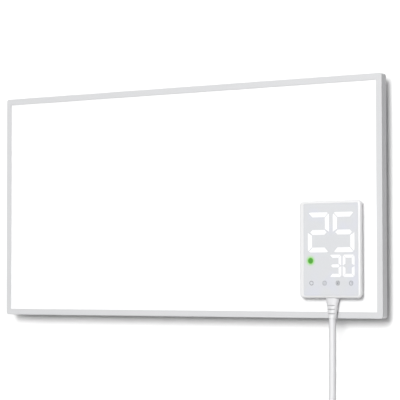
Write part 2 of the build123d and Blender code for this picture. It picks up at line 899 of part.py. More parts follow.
def mains_core(shift: float, pole: float) -> Part:
    """A core from the strain relief, behind the display board and through to its terminal."""
    x_start = relief_shift + shift
    x_sleeve = sleeve_x + shift
    points = [
        from_unit(x_start, relief_out, flange_inner_z),
        from_unit(x_start, relief_out, flange_inner_z + 4.0),
        from_unit(x_sleeve, behind_board_out, flange_inner_z + 11.0),
        from_unit(x_sleeve, behind_board_out, sleeve_z),
        from_unit(x_sleeve, terminal_out, sleeve_z),
        from_unit(pole, terminal_out, mains_terminal_z - mains_terminal_size[1] / 2),
    ]
    return wire(points, core_diameter, [core_bend] * 4)


with BuildPart() as live_core:
    add(mains_core(-core_step, mains_terminal_x - terminal_pitch / 2))
save("live_core", live_core)

with BuildPart() as neutral_core:
    add(mains_core(core_step, mains_terminal_x + terminal_pitch / 2))
save("neutral_core", neutral_core)

with BuildPart() as earth_core:
    earth_out = ring_out + ring_thickness / 2
    add(
        wire(
            [
                from_unit(relief_shift, relief_out, flange_inner_z),
                from_unit(relief_shift, relief_out, flange_inner_z + 4.0),
                from_unit(sleeve_x, behind_board_out, flange_inner_z + 11.0),
                from_unit(sleeve_x, behind_board_out, sleeve_z - earth_drop),
                from_unit(sleeve_x, earth_out, sleeve_z - earth_drop),
                from_unit(ring_barrel_x, earth_out, earth_z),
            ],
            core_diameter,
            [core_bend] * 4,
        )
    )
save("earth_core", earth_core)

with BuildPart() as heater_leads:
    lead_bend = 2.0
    pole_z = [heater_terminal_z + (2 - k) * terminal_pitch for k in range(5)]
    for lead_z in pole_z[:2]:
        add(
            wire(
                [
                    from_unit(grommet_x, film_front_out, lead_z),
                    from_unit(grommet_x, terminal_out, lead_z),
                    from_unit(power_board_right, terminal_out, lead_z),
                ],
                lead_diameter,
                [lead_bend],
            )
        )
    for lead_z in pole_z[3:]:
        add(
            wire(
                [
                    from_unit(grommet_x, cover_back_out - cutout_size[2], lead_z),
                    from_unit(grommet_x, terminal_out, lead_z),
                    from_unit(power_board_right, terminal_out, lead_z),
                ],
                lead_diameter,
                [lead_bend],
            )
        )
save("heater_leads", heater_leads)

with BuildPart() as control_lead:
    lead_top = sleeve_z + earth_drop
    lead_level = display_board_out - 1.7
    board_edge_out = power_board_back_out + power_board_thickness / 2
    add(
        wire(
            [
                from_unit(sleeve_x, display_board_out, lead_top + 9.0),
                from_unit(sleeve_x, lead_level, lead_top + 9.0),
                from_unit(sleeve_x, lead_level, lead_top),
                from_unit(sleeve_x, board_edge_out, lead_top),
                from_unit(sleeve_x, board_edge_out, power_board_bottom),
            ],
            lead_diameter,
            [1.3, 2.0, 2.0],
        )
    )
save("control_lead", control_lead)

# ---------------------------------------------------------------------------------------------
# Control unit: base, nuts, display board
# ---------------------------------------------------------------------------------------------

display_board_edge = unit_width / 2 - base_inner_inset - display_board_clearance
display_board_low = -unit_height / 2 + display_board_bottom
display_board_high = unit_height / 2 - base_inner_inset - display_board_clearance
display_screw_places = [
    (i * (display_board_edge - boss_inset), z)
    for i in signs
    for z in (display_board_low + boss_inset, display_board_high - boss_inset)
]
vent_slot = (1.2, 3.0)
vent_count = 5
vent_pitch = 3.0
vent_x = 19.5
vent_out = (plate_out + base_floor + cap_back_out) / 2


def unit_outline(inset: float) -> None:
    """The unit's rounded outline, drawn in by an inset, into the open sketch."""
    RectangleRounded(
        unit_width - 2 * inset, unit_height - 2 * inset, max(unit_corner_radius - inset, 0.5)
    )


def relief_notch() -> None:
    """The notch that holds the strain relief's neck, into the open sketch."""
    with Locations((relief_x, relief_y)):
        SlotOverall(relief_neck[0] + 2 * relief_clearance, relief_neck[1] + 2 * relief_clearance)


with BuildPart() as control_base:
    with BuildSketch(unit_plane(plate_out)):
        unit_outline(base_inset)
    extrude(amount=base_rim_out - plate_out)
    with BuildSketch(unit_plane(plate_out + base_floor)):
        unit_outline(base_inner_inset)
    extrude(amount=base_rim_out - plate_out - base_floor, mode=Mode.SUBTRACT)
    with BuildSketch(unit_plane(plate_out + base_floor)):
        with Locations(*display_screw_places):
            Circle(boss_diameter / 2)
    extrude(amount=display_board_height_over_floor)
    rib_z = flange_inner_z + relief_clearance
    rib_length = 6.0
    rib_thickness = 1.5
    rib_height = 6.5
    with BuildSketch(unit_plane(plate_out + base_floor)):
        for i in signs:
            rib_x = relief_shift + i * (relief_flange[0] / 2 - rib_length / 2 + 1.0)
            with Locations((rib_x, rib_z + rib_thickness / 2)):
                Rectangle(rib_length, rib_thickness)
    extrude(amount=rib_height)
    with BuildSketch(unit_plane(plate_out)):
        with Locations(*stud_places):
            Circle(stud_diameter / 2 + stud_clearance)
        with Locations((sleeve_x, sleeve_z)):
            Circle(sleeve_hole / 2)
    extrude(amount=base_floor, mode=Mode.SUBTRACT)
    with BuildSketch(unit_plane(display_board_out)):
        with Locations(*display_screw_places):
            Circle(screw_shank / 2)
    extrude(amount=-(screw_length - board_thickness), mode=Mode.SUBTRACT)
    with BuildSketch(Plane.XY.offset(unit_bottom + base_inset)):
        relief_notch()
        with Locations((relief_x, -base_rim_out)):
            Rectangle(relief_neck[0] + 2 * relief_clearance, 2 * (base_rim_out + relief_y))
        with Locations((unit_x - vent_x, -vent_out)):
            with GridLocations(vent_pitch, 1, vent_count, 1):
                Rectangle(*vent_slot)
    extrude(amount=base_wall, mode=Mode.SUBTRACT)
save("control_base", control_base)

with BuildPart() as base_nuts:
    with BuildSketch(unit_plane(plate_out + base_floor)):
        with Locations(*stud_places):
            RegularPolygon(base_nut_flats / 2, 6, major_radius=False)
            Circle(stud_diameter / 2 + rivet_clearance, mode=Mode.SUBTRACT)
    extrude(amount=base_nut_height)
save("base_nuts", base_nuts)

with BuildPart() as display_board:
    with BuildSketch(unit_plane(display_board_out)):
        with Locations((0, (display_board_low + display_board_high) / 2)):
            Rectangle(2 * display_board_edge, display_board_high - display_board_low)
        notch_x = (relief_shift + sleeve_x) / 2
        with Locations((notch_x, display_board_low + board_notch_height / 2)):
            Rectangle(board_notch_width, board_notch_height, mode=Mode.SUBTRACT)
        with Locations(*display_screw_places):
            Circle(screw_shank / 2 + screw_hole_clearance, mode=Mode.SUBTRACT)
    extrude(amount=board_thickness)
save("display_board", display_board)


def pan_screw() -> Part:
    """A pan head screw on the Z axis, its head standing on zero and its shank below."""
    with BuildPart() as screw:
        Cylinder(screw_head / 2, screw_head_height, align=(Align.CENTER, Align.CENTER, Align.MIN))
        fillet(screw.edges().sort_by(Axis.Z)[-1], screw_head_height * 0.45)
        with Locations((0, 0, screw_head_height)):
            Box(screw_head * 0.55, screw_head * 0.14, screw_head_height * 0.8, mode=Mode.SUBTRACT)
            Box(screw_head * 0.14, screw_head * 0.55, screw_head_height * 0.8, mode=Mode.SUBTRACT)
        Cylinder(screw_shank / 2, screw_length, align=(Align.CENTER, Align.CENTER, Align.MAX))
        chamfer(screw.edges().sort_by(Axis.Z)[0], screw_shank * 0.2)
    return screw.part


with BuildPart() as case_screws:
    one_screw = pan_screw()
    for x, z in lid_boss_places:
        with Locations(Location(from_unit(x, lid_back_out, z), (-90, 0, 0))):
            add(one_screw)
    for x, z in power_screw_places:
        with Locations(Location(from_unit(x, power_board_back_out, z), (-90, 0, 0))):
            add(one_screw)
    for x, z in display_screw_places:
        with Locations(Location(from_unit(x, display_board_front_out, z), (90, 0, 0))):
            add(one_screw)
save("case_screws", case_screws)

# ---------------------------------------------------------------------------------------------
# Digits
# ---------------------------------------------------------------------------------------------

large_right = layout_shift + large_digit_width + large_digit_gap / 2
large_left_x = layout_shift - (large_digit_width + large_digit_gap) / 2
large_right_x = layout_shift + (large_digit_width + large_digit_gap) / 2
small_right_x = large_right - small_digit_width / 2
small_left_x = small_right_x - small_digit_width - small_digit_gap
large_shape = (large_digit_stroke, large_segment_gap, large_digit_round)
small_shape = (small_digit_stroke, small_segment_gap, small_digit_round)
large_size = (large_digit_width, large_digit_height, *large_shape)
small_size = (small_digit_width, small_digit_height, *small_shape)
segments_of = {0: "abcdef", 2: "abged", 3: "abgcd", 5: "afgcd"}
digits = [
    (2, large_left_x, large_digit_z, large_size),
    (5, large_right_x, large_digit_z, large_size),
    (3, small_left_x, small_digit_z, small_size),
    (0, small_right_x, small_digit_z, small_size),
]


def segment_corners(letter: str, width: float, height: float, stroke: float, gap: float) -> list:
    """Corners of one of a digit's seven segments, measured from the digit's middle."""
    right, top = width / 2, height / 2
    if letter == "g":
        tip, shoulder = right - stroke / 2 - gap, right - stroke - gap
        return [
            (tip, 0),
            (shoulder, stroke / 2),
            (-shoulder, stroke / 2),
            (-tip, 0),
            (-shoulder, -stroke / 2),
            (shoulder, -stroke / 2),
        ]
    if letter in "ad":
        up = 1 if letter == "a" else -1
        return [
            (-right + gap, up * top),
            (right - gap, up * top),
            (right - stroke - gap, up * (top - stroke)),
            (-right + stroke + gap, up * (top - stroke)),
        ]
    up = 1 if letter in "bf" else -1
    across = 1 if letter in "bc" else -1
    return [
        (across * right, up * (top - gap)),
        (across * right, up * gap),
        (across * (right - stroke), up * (stroke / 2 + 1.6 * gap)),
        (across * (right - stroke), up * (top - stroke - gap)),
    ]


def draw_segments(lit: bool, both: bool = False, only: tuple = ()) -> None:
    """Draw the lit or the dark segments of the digits into the open sketch."""
    for value, x, z, size in digits:
        width, height, stroke, gap, corner_round = size
        if only and size != only:
            continue
        for letter in "abcdefg":
            if not both and (letter in segments_of[value]) != lit:
                continue
            with BuildSketch(mode=Mode.PRIVATE) as segment:
                Polygon(*segment_corners(letter, width, height, stroke, gap), align=None)
                RectangleRounded(width, height, corner_round, mode=Mode.INTERSECT)
            with Locations((x, z)):
                add(segment.sketch)


def digit_module(size: tuple, x_places: tuple, z: float) -> BuildPart:
    """A block of light wells behind two digits, standing on the display board."""
    width, height = size[:2]
    middle = sum(x_places) / 2
    span = x_places[1] - x_places[0] + width
    with BuildPart() as module:
        with BuildSketch(unit_plane(display_board_front_out)):
            with Locations((middle, z)):
                Rectangle(span + 2 * module_margin, height + 2 * module_margin)
        extrude(amount=module_height)
        with BuildSketch(unit_plane(display_board_front_out + module_height - well_depth)):
            draw_segments(lit=True, both=True, only=size)
        extrude(amount=well_depth, mode=Mode.SUBTRACT)
    return module


save("large_digit_module", digit_module(large_size, (large_left_x, large_right_x), large_digit_z))
save("small_digit_module", digit_module(small_size, (small_left_x, small_right_x), small_digit_z))

with BuildPart() as status_led:
    with BuildSketch(unit_plane(display_board_front_out)):
        with Locations((status_x, status_z)):
            Circle(2.9)
    extrude(amount=1.0)
    with BuildSketch(unit_plane(display_board_front_out)):
        with Locations((status_x, status_z)):
            Circle(2.5)
    extrude(amount=3.6)
    fillet(status_led.faces().sort_by(Axis.Y)[0].edges(), 2.0)
save("status_led", status_led)

icon_places = [(layout_shift + x, icon_z) for x in spread(4, 3 * icon_pitch)]
with BuildPart() as touch_pads:
    with BuildSketch(unit_plane(display_board_front_out)):
        with Locations(*icon_places):
            Circle(touch_pad_diameter / 2)
    extrude(amount=cap_inner_out - display_board_front_out - touch_pad_gap)
save("touch_pads", touch_pads)

with BuildPart() as room_sensor:
    with BuildSketch(unit_plane(display_board_front_out)):
        with Locations((-vent_x, display_board_low + 2.0)):
            SlotOverall(4.0, 2.4)
    extrude(amount=2.4)
    fillet(room_sensor.faces().sort_by(Axis.Y)[0].edges(), 0.8)
save("room_sensor", room_sensor)

# ---------------------------------------------------------------------------------------------
# Control unit: cover, lens and what is let into it
# ---------------------------------------------------------------------------------------------

lens_width = unit_width - lens_left_margin - lens_right_margin
lens_x = (lens_left_margin - lens_right_margin) / 2
lens_height = unit_height - 2 * lens_margin
window_left = large_left_x - large_digit_width / 2 - module_margin / 2
window_right = large_right + module_margin / 2
window_top = large_digit_z + large_digit_height / 2 + module_margin / 2
window_bottom = large_digit_z - large_digit_height / 2 - module_margin / 2
small_window_left = small_left_x - small_digit_width / 2 - module_margin / 2
small_window_bottom = small_digit_z - small_digit_height / 2 - module_margin / 2

with BuildPart() as control_cover:
    with BuildSketch(unit_plane(cap_back_out)):
        unit_outline(0)
    extrude(amount=cap_depth)
    fillet(control_cover.faces().sort_by(Axis.Y)[0].outer_wire().edges(), unit_edge_round)
    with BuildSketch(unit_plane(cap_back_out)):
        unit_outline(cap_wall)
    extrude(amount=cap_inner_out - cap_back_out, mode=Mode.SUBTRACT)
    with BuildSketch(unit_plane(lens_back_out)):
        with Locations((lens_x, 0)):
            RectangleRounded(
                lens_width + 2 * lens_clearance,
                lens_height + 2 * lens_clearance,
                lens_corner_radius,
            )
    extrude(amount=lens_thickness, mode=Mode.SUBTRACT)
    with BuildSketch(unit_plane(cap_inner_out)):
        with BuildLine():
            Polyline(
                (window_left, window_top),
                (window_right, window_top),
                (window_right, small_window_bottom),
                (small_window_left, small_window_bottom),
                (small_window_left, window_bottom),
                (window_left, window_bottom),
                close=True,
            )
        make_face()
        with Locations((status_x, status_z)):
            Circle(status_diameter / 2 - 0.5)
    extrude(amount=lens_back_out - cap_inner_out, mode=Mode.SUBTRACT)
    with BuildSketch(Plane.XY.offset(unit_bottom)):
        relief_notch()
    extrude(amount=cap_wall, mode=Mode.SUBTRACT)
save("control_cover", control_cover)


def draw_icons() -> None:
    """Draw the four key marks: on and off, lower, eco disc and clock."""
    outer, inner = icon_diameter / 2, icon_diameter / 2 - icon_line
    power, lower, eco, clock = icon_places
    for place in (power, lower, eco, clock):
        with Locations(place):
            Circle(outer)
            Circle(inner, mode=Mode.SUBTRACT)
    with Locations((power[0], power[1] + outer)):
        Rectangle(3 * icon_line, 2.4 * icon_line, mode=Mode.SUBTRACT)
        Rectangle(icon_line, 4.6 * icon_line)
    with Locations((power[0], power[1] + outer + icon_line)):
        Rectangle(3 * icon_line, 2 * icon_line, mode=Mode.SUBTRACT)
    with Locations(lower):
        Rectangle(3.4 * icon_line, icon_line)
    with Locations(eco):
        Circle(inner - 2 * icon_line)
        for i in signs:
            Rectangle(2 * inner + icon_line / 2, icon_line / 2, rotation=45 * i)
    with Locations((clock[0], clock[1] + inner / 4)):
        Rectangle(icon_line, inner / 2 + icon_line)
    with Locations((clock[0] + inner / 4, clock[1])):
        Rectangle(inner / 2 + icon_line, icon_line)


with BuildPart() as touch_icons:
    with BuildSketch(unit_plane(face_out - icon_depth)):
        draw_icons()
    extrude(amount=icon_depth)
save("touch_icons", touch_icons)

with BuildPart() as display_lens:
    with BuildSketch(unit_plane(lens_back_out)):
        with Locations((lens_x, 0)):
            RectangleRounded(lens_width, lens_height, lens_corner_radius - lens_clearance)
    extrude(amount=lens_thickness)
    with BuildSketch(unit_plane(lens_back_out)):
        draw_segments(lit=True, both=True)
        with Locations((status_x, status_z)):
            Circle(status_diameter / 2)
    extrude(amount=lens_thickness, mode=Mode.SUBTRACT)
    with BuildSketch(unit_plane(face_out - icon_depth)):
        draw_icons()
    extrude(amount=icon_depth, mode=Mode.SUBTRACT)
save("display_lens", display_lens)

with BuildPart() as lit_segments:
    with BuildSketch(unit_plane(lens_back_out)):
        draw_segments(lit=True)
    extrude(amount=lens_thickness)
save("lit_segments", lit_segments)

with BuildPart() as dark_segments:
    with BuildSketch(unit_plane(lens_back_out)):
        draw_segments(lit=False)
    extrude(amount=lens_thickness)
save("dark_segments", dark_segments)

with BuildPart() as status_window:
    with BuildSketch(unit_plane(lens_back_out)):
        with Locations((status_x, status_z)):
            Circle(status_diameter / 2)
    extrude(amount=lens_thickness)
save("status_window", status_window)

# ---------------------------------------------------------------------------------------------
# Strain relief
# ---------------------------------------------------------------------------------------------

groove_places = (8.7, 13.6, 18.8)

with BuildPart() as strain_relief:
    relief_centre = (relief_x, relief_y)
    with BuildSketch(Plane.XY.offset(unit_bottom)):
        with Locations(relief_centre):
            Ellipse(relief_collar[0] / 2, relief_collar[1] / 2)
    with BuildSketch(Plane.XY.offset(unit_bottom - relief_collar_length)):
        with Locations(relief_centre):
            Ellipse(relief_collar_end[0] / 2, relief_collar_end[1] / 2)
    loft()
    with BuildSketch(Plane.XY.offset(unit_bottom - relief_collar_length + relief_body_tuck)):
        with Locations(relief_centre):
            Ellipse(relief_body[0] / 2, relief_body[1] / 2)
    with BuildSketch(Plane.XY.offset(relief_end_z)):
        with Locations(relief_centre):
            Ellipse(relief_end_diameter / 2, relief_end_diameter / 2 - 0.001)
    loft()
    for drop in groove_places:
        for face in signs:
            groove_y = relief_y + face * (relief_body[1] / 2 + groove_depth / 2)
            with Locations((relief_x, groove_y, unit_bottom - drop)):
                Box(groove_width, 3 * groove_depth, groove_height, mode=Mode.SUBTRACT)
    with BuildSketch(Plane.XY.offset(unit_bottom)):
        with Locations(relief_centre):
            SlotOverall(*relief_neck)
    extrude(amount=relief_neck_length)
    with BuildSketch(Plane.XY.offset(unit_bottom + relief_neck_length)):
        with Locations(relief_centre):
            SlotOverall(*relief_flange)
    extrude(amount=relief_flange_thickness)
save("strain_relief", strain_relief)

# ---------------------------------------------------------------------------------------------
# Mains lead: hanging stretch, put-away coil with its tie, tail and plug
# ---------------------------------------------------------------------------------------------


def cord_radii(points: list) -> list:
    """Each bend's radius, as large as its two runs allow."""
    radii = []
    for before, here, after in zip(points, points[1:], points[2:]):
        run_in = Vector(*here) - Vector(*before)
        run_out = Vector(*after) - Vector(*here)
        half_turn = radians(run_in.get_angle(run_out)) / 2
        radii.append(0.45 * min(run_in.length, run_out.length) / tan(half_turn))
    return radii


exit_point = Vector(relief_x, relief_y, relief_end_z)
cord_points = [tuple(exit_point + Vector(*point)) for point in cord_route]
with BuildPart() as mains_cord:
    cord_bends = cord_radii(cord_points)
    with BuildLine() as cord_path:
        FilletPolyline(*cord_points, radius=cord_bends)
    with BuildSketch(Plane(origin=cord_path.line @ 0, z_dir=cord_path.line % 0)):
        Circle(cord_diameter / 2)
    sweep()
save("mains_cord", mains_cord)
print("cord radii", [round(bend, 1) for bend in cord_bends])
cord_length = sum(edge.length for edge in cord_path.edges())
swept_volume = cord_length * 3.14159 * cord_diameter**2 / 4
print("cord volume over section times length", round(mains_cord.part.volume / swept_volume, 4))

coil_z = relief_end_z - coil_drop
coil_width = coil_turns_wide * cord_diameter
coil_depth = coil_turns_deep * cord_diameter
coil_y = relief_y - cord_diameter / 2 + coil_depth / 2
with BuildPart() as cord_coil:
    with BuildSketch(Plane.XY.offset(coil_z)):
        with Locations((relief_x + coil_mean_radius, coil_y)):
            RectangleRounded(coil_width, coil_depth, coil_corner)
    revolve(axis=Axis((relief_x, 0, coil_z), (0, 1, 0)))
save("cord_coil", cord_coil)

with BuildPart() as cord_tie:
    turn = radians(tie_angle)
    tie_plane = Plane(
        origin=(relief_x + coil_mean_radius * cos(turn), coil_y, coil_z + coil_mean_radius * sin(turn)),
        x_dir=(cos(turn), 0, sin(turn)),
        z_dir=(-sin(turn), 0, cos(turn)),
    )
    with BuildSketch(tie_plane):
        RectangleRounded(
            coil_width + 2 * tie_thickness, coil_depth + 2 * tie_thickness, coil_corner + tie_thickness
        )
        RectangleRounded(coil_width, coil_depth, coil_corner, mode=Mode.SUBTRACT)
    revolve(
        axis=Axis((relief_x, 0, coil_z), (0, -1, 0)),
        revolution_arc=degrees(tie_width / coil_mean_radius),
    )
save("cord_tie", cord_tie)

tail_x = relief_x - coil_mean_radius - (coil_turns_wide - 1) / 2 * cord_diameter
tail_y = relief_y - cord_diameter + coil_depth
tail_end_z = coil_z - tail_length
with BuildPart() as cord_tail:
    with BuildSketch(Plane.XY.offset(coil_z)):
        with Locations((tail_x, tail_y)):
            Circle(cord_diameter / 2)
    extrude(amount=-tail_length)
save("cord_tail", cord_tail)

sleeve_top, sleeve_base, sleeve_length = plug_sleeve
grip_top_z = tail_end_z - sleeve_length
grip_end_z = grip_top_z - plug_grip_length
plug_face_z = grip_end_z - plug_body_length

with BuildPart() as plug_body:
    for start_z, start, end_z, end in (
        (tail_end_z, sleeve_top, grip_top_z, sleeve_base),
        (grip_top_z, plug_grip_diameter - 8.0, grip_end_z, plug_grip_diameter),
        (grip_end_z, plug_body_diameter - 1.0, plug_face_z, plug_body_diameter),
    ):
        with BuildSketch(Plane.XY.offset(start_z)):
            with Locations((tail_x, tail_y)):
                Circle(start / 2)
        with BuildSketch(Plane.XY.offset(end_z)):
            with Locations((tail_x, tail_y)):
                Circle(end / 2)
        loft()
    fillet(plug_body.faces().filter_by(Axis.Z).group_by(Axis.Z)[-2].edges().group_by(SortBy.RADIUS)[-1], 3.0)
    notch_width, notch_depth = plug_notch
    for side in signs:
        with Locations(
            (
                tail_x + side * (plug_body_diameter / 2 - notch_depth / 2),
                tail_y,
                plug_face_z + plug_body_length / 2,
            )
        ):
            Box(notch_depth + 0.6, notch_width, plug_body_length + 0.1, mode=Mode.SUBTRACT)
        with Locations(
            (
                tail_x,
                tail_y + side * (plug_body_diameter / 2 - contact_recess / 2),
                plug_face_z + plug_body_length / 2,
            )
        ):
            Box(contact_width + 0.4, contact_recess + 0.6, plug_body_length + 0.1, mode=Mode.SUBTRACT)
save("plug_body", plug_body)

with BuildPart() as plug_pins:
    with BuildSketch(Plane.XY.offset(plug_face_z)):
        with Locations((tail_x, tail_y)):
            with GridLocations(pin_spacing, 1, 2, 1):
                Circle(pin_diameter / 2)
    extrude(amount=-pin_length)
    fillet(plug_pins.edges().group_by(Axis.Z)[0], pin_tip_round)
save("plug_pins", plug_pins)

with BuildPart() as plug_earth_contacts:
    for side in signs:
        contact_y = tail_y + side * (plug_body_diameter / 2 - contact_recess - 0.3 + contact_thickness / 2)
        with Locations((tail_x, contact_y, plug_face_z + plug_body_length / 2)):
            Box(contact_width, contact_thickness, plug_body_length - 1.0)
save("plug_earth_contacts", plug_earth_contacts)
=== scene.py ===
"""Looks of a slim infrared panel heater that hangs on two wall brackets.

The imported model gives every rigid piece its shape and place. This script gives them their finishes,
lays the mains lead with its put-away coil, adds the fine moulded detail, and sets up the studio.
Lengths are in metres, with the wall at Y = 0 and the heater facing -Y.
"""

import logging
import math
from dataclasses import dataclass, field, replace
from enum import Enum

import bpy
from mathutils import Matrix, Vector


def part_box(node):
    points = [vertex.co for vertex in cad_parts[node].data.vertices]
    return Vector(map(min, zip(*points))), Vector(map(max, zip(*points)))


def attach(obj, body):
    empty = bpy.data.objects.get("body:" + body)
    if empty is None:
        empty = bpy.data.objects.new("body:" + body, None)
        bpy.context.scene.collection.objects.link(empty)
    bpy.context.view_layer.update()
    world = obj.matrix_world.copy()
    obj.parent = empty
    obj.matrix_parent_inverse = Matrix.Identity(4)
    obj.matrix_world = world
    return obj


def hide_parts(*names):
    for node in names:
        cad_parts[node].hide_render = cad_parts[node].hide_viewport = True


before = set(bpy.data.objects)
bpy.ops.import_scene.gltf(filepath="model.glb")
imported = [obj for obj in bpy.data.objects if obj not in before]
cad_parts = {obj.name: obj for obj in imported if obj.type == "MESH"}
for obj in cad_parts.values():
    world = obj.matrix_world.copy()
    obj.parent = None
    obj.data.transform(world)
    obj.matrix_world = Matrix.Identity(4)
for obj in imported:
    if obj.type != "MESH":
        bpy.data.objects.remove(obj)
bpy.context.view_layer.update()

log = logging.getLogger("heater")

Colour = tuple[float, float, float]
Point = tuple[float, float, float]

DUST_COLOUR: Colour = (0.36, 0.35, 0.33)
COAT_ROUGHNESS = 0.12
WAVE_PITCH = 0.314  # a wave texture's own pitch at a scale of 1
BUMP_STRENGTH = 0.7


# ---------------------------------------------------------------------------------------------
# Shared effects: shader node groups
# ---------------------------------------------------------------------------------------------


class Grain(Enum):
    """How a surface is broken up at close range."""

    MOULDED = "moulded"
    POWDER = "powder"
    BRUSHED = "brushed"
    FELTED = "felted"
    CRINKLED = "crinkled"
    SPANGLED = "spangled"


# For the grains that show as lighter and darker parts: the dark parts' share of the colour, and how
# much of them shows.
GRAIN_SHADES: dict[Grain, tuple[float, float]] = {
    Grain.SPANGLED: (0.86, 1.0),
    Grain.BRUSHED: (0.82, 0.5),
    Grain.FELTED: (0.82, 0.5),
    Grain.CRINKLED: (0.82, 0.5),
}


class Net:
    """Adds and joins the nodes of one node tree."""

    def __init__(self, tree: bpy.types.NodeTree) -> None:
        """Keep the tree.

        Args:
            tree: the tree of a material or of a node group.
        """
        self.tree = tree

    def add(self, kind: str, settings: dict | None = None, **values: object) -> bpy.types.Node:
        """Add a node.

        Args:
            kind: the node's type name.
            settings: properties of the node itself.
            **values: default values, by the input's name with underscores for spaces.

        Returns:
            The new node.
        """
        node = self.tree.nodes.new(kind)
        for name, value in (settings or {}).items():
            setattr(node, name, value)
        for name, value in values.items():
            node.inputs[name.replace("_", " ")].default_value = value
        return node

    def join(self, source: bpy.types.NodeSocket, target: bpy.types.NodeSocket) -> None:
        """Link an output to an input."""
        self.tree.links.new(source, target)

    def math(self, operation: str, first: object, second: object = 0.0) -> bpy.types.NodeSocket:
        """Work out one sum of two sockets or numbers.

        Args:
            operation: a Math node's operation.
            first: a socket or a number.
            second: a socket or a number.

        Returns:
            The result's socket.
        """
        node = self.add("ShaderNodeMath", {"operation": operation})
        for slot, value in zip(node.inputs, (first, second)):
            if isinstance(value, (int, float)):
                slot.default_value = value
            else:
                self.join(value, slot)
        return node.outputs[0]

    def blend(self, share: object, first: object, second: object) -> bpy.types.NodeSocket:
        """Mix two colours.

        Args:
            share: how much of the second colour, a socket or a number.
            first: a colour or its socket.
            second: a colour or its socket.

        Returns:
            The mixed colour's socket.
        """
        node = self.add("ShaderNodeMix", {"data_type": "RGBA"})
        for slot, value in ((node.inputs[0], share), (node.inputs[6], first), (node.inputs[7], second)):
            if isinstance(value, (int, float)):
                slot.default_value = value
            elif isinstance(value, tuple):
                slot.default_value = (*value, 1.0)
            else:
                self.join(value, slot)
        return node.outputs[2]

    def within(self, value: bpy.types.NodeSocket, middle: float, span: float) -> bpy.types.NodeSocket:
        """Give 1 where a value lies in a span round its middle, and 0 elsewhere."""
        away = self.math("ABSOLUTE", self.math("SUBTRACT", value, middle))
        return self.math("LESS_THAN", away, span / 2)

    def ramp(self, value: bpy.types.NodeSocket, low: float, high: float) -> bpy.types.NodeSocket:
        """Spread a value from low to high over 0 to 1, clamped.

        Args:
            value: the value's socket.
            low: what becomes 0.
            high: what becomes 1.

        Returns:
            The result's socket.
        """
        node = self.add("ShaderNodeMapRange", From_Min=low, From_Max=high)
        self.join(value, node.inputs["Value"])
        return node.outputs[0]


def new_group(name: str, inputs: dict[str, object], outputs: dict[str, str]) -> tuple:
    """Start a shader node group.

    Args:
        name: the group's name.
        inputs: socket names and default values; a 3-tuple is a vector, a 4-tuple a colour.
        outputs: socket names and types.

    Returns:
        The net, the group's input node and its output node.
    """
    tree = bpy.data.node_groups.new(name, "ShaderNodeTree")
    for label, value in inputs.items():
        kind = "NodeSocketFloat"
        if isinstance(value, tuple):
            kind = "NodeSocketVector" if len(value) == 3 else "NodeSocketColor"
        socket = tree.interface.new_socket(label, in_out="INPUT", socket_type=kind)
        socket.default_value = value
    for label, kind in outputs.items():
        tree.interface.new_socket(label, in_out="OUTPUT", socket_type=kind)
    net = Net(tree)
    return net, net.add("NodeGroupInput"), net.add("NodeGroupOutput")


def build_grain_group(kind: Grain) -> bpy.types.NodeTree:
    """Build the group that breaks up a surface at close range.

    Args:
        kind: the sort of surface.

    Returns:
        A group with Vector, Scale and Stretch in, Height and Mask out.
    """
    net, given, out = new_group(
        f"grain_{kind.value}",
        {"Vector": (0.0, 0.0, 0.0), "Scale": 1000.0, "Stretch": (1.0, 1.0, 1.0)},
        {"Height": "NodeSocketFloat", "Mask": "NodeSocketFloat"},
    )
    stretched = net.add("ShaderNodeVectorMath", {"operation": "MULTIPLY"})
    net.join(given.outputs["Vector"], stretched.inputs[0])
    net.join(given.outputs["Stretch"], stretched.inputs[1])
    detail = {Grain.FELTED: 6.0, Grain.BRUSHED: 4.0}.get(kind, 2.0)
    noise = net.add("ShaderNodeTexNoise", Detail=detail, Roughness=0.6)
    net.join(stretched.outputs[0], noise.inputs["Vector"])
    net.join(given.outputs["Scale"], noise.inputs["Scale"])
    if kind in (Grain.POWDER, Grain.SPANGLED, Grain.CRINKLED):
        cells = net.add("ShaderNodeTexVoronoi", {"feature": "F1"})
        net.join(stretched.outputs[0], cells.inputs["Vector"])
        net.join(net.math("MULTIPLY", given.outputs["Scale"], 0.7), cells.inputs["Scale"])
        if kind is Grain.SPANGLED:
            shade = net.add("ShaderNodeSeparateColor")
            net.join(cells.outputs["Color"], shade.inputs[0])
            net.join(net.math("MULTIPLY", noise.outputs[0], 0.15), out.inputs["Height"])
            net.join(shade.outputs[0], out.inputs["Mask"])
            return net.tree
        height = net.math("ADD", noise.outputs[0], net.math("MULTIPLY", cells.outputs["Distance"], 0.8))
        net.join(height, out.inputs["Height"])
    else:
        net.join(noise.outputs[0], out.inputs["Height"])
    net.join(net.ramp(noise.outputs[0], 0.35, 0.65), out.inputs["Mask"])
    return net.tree


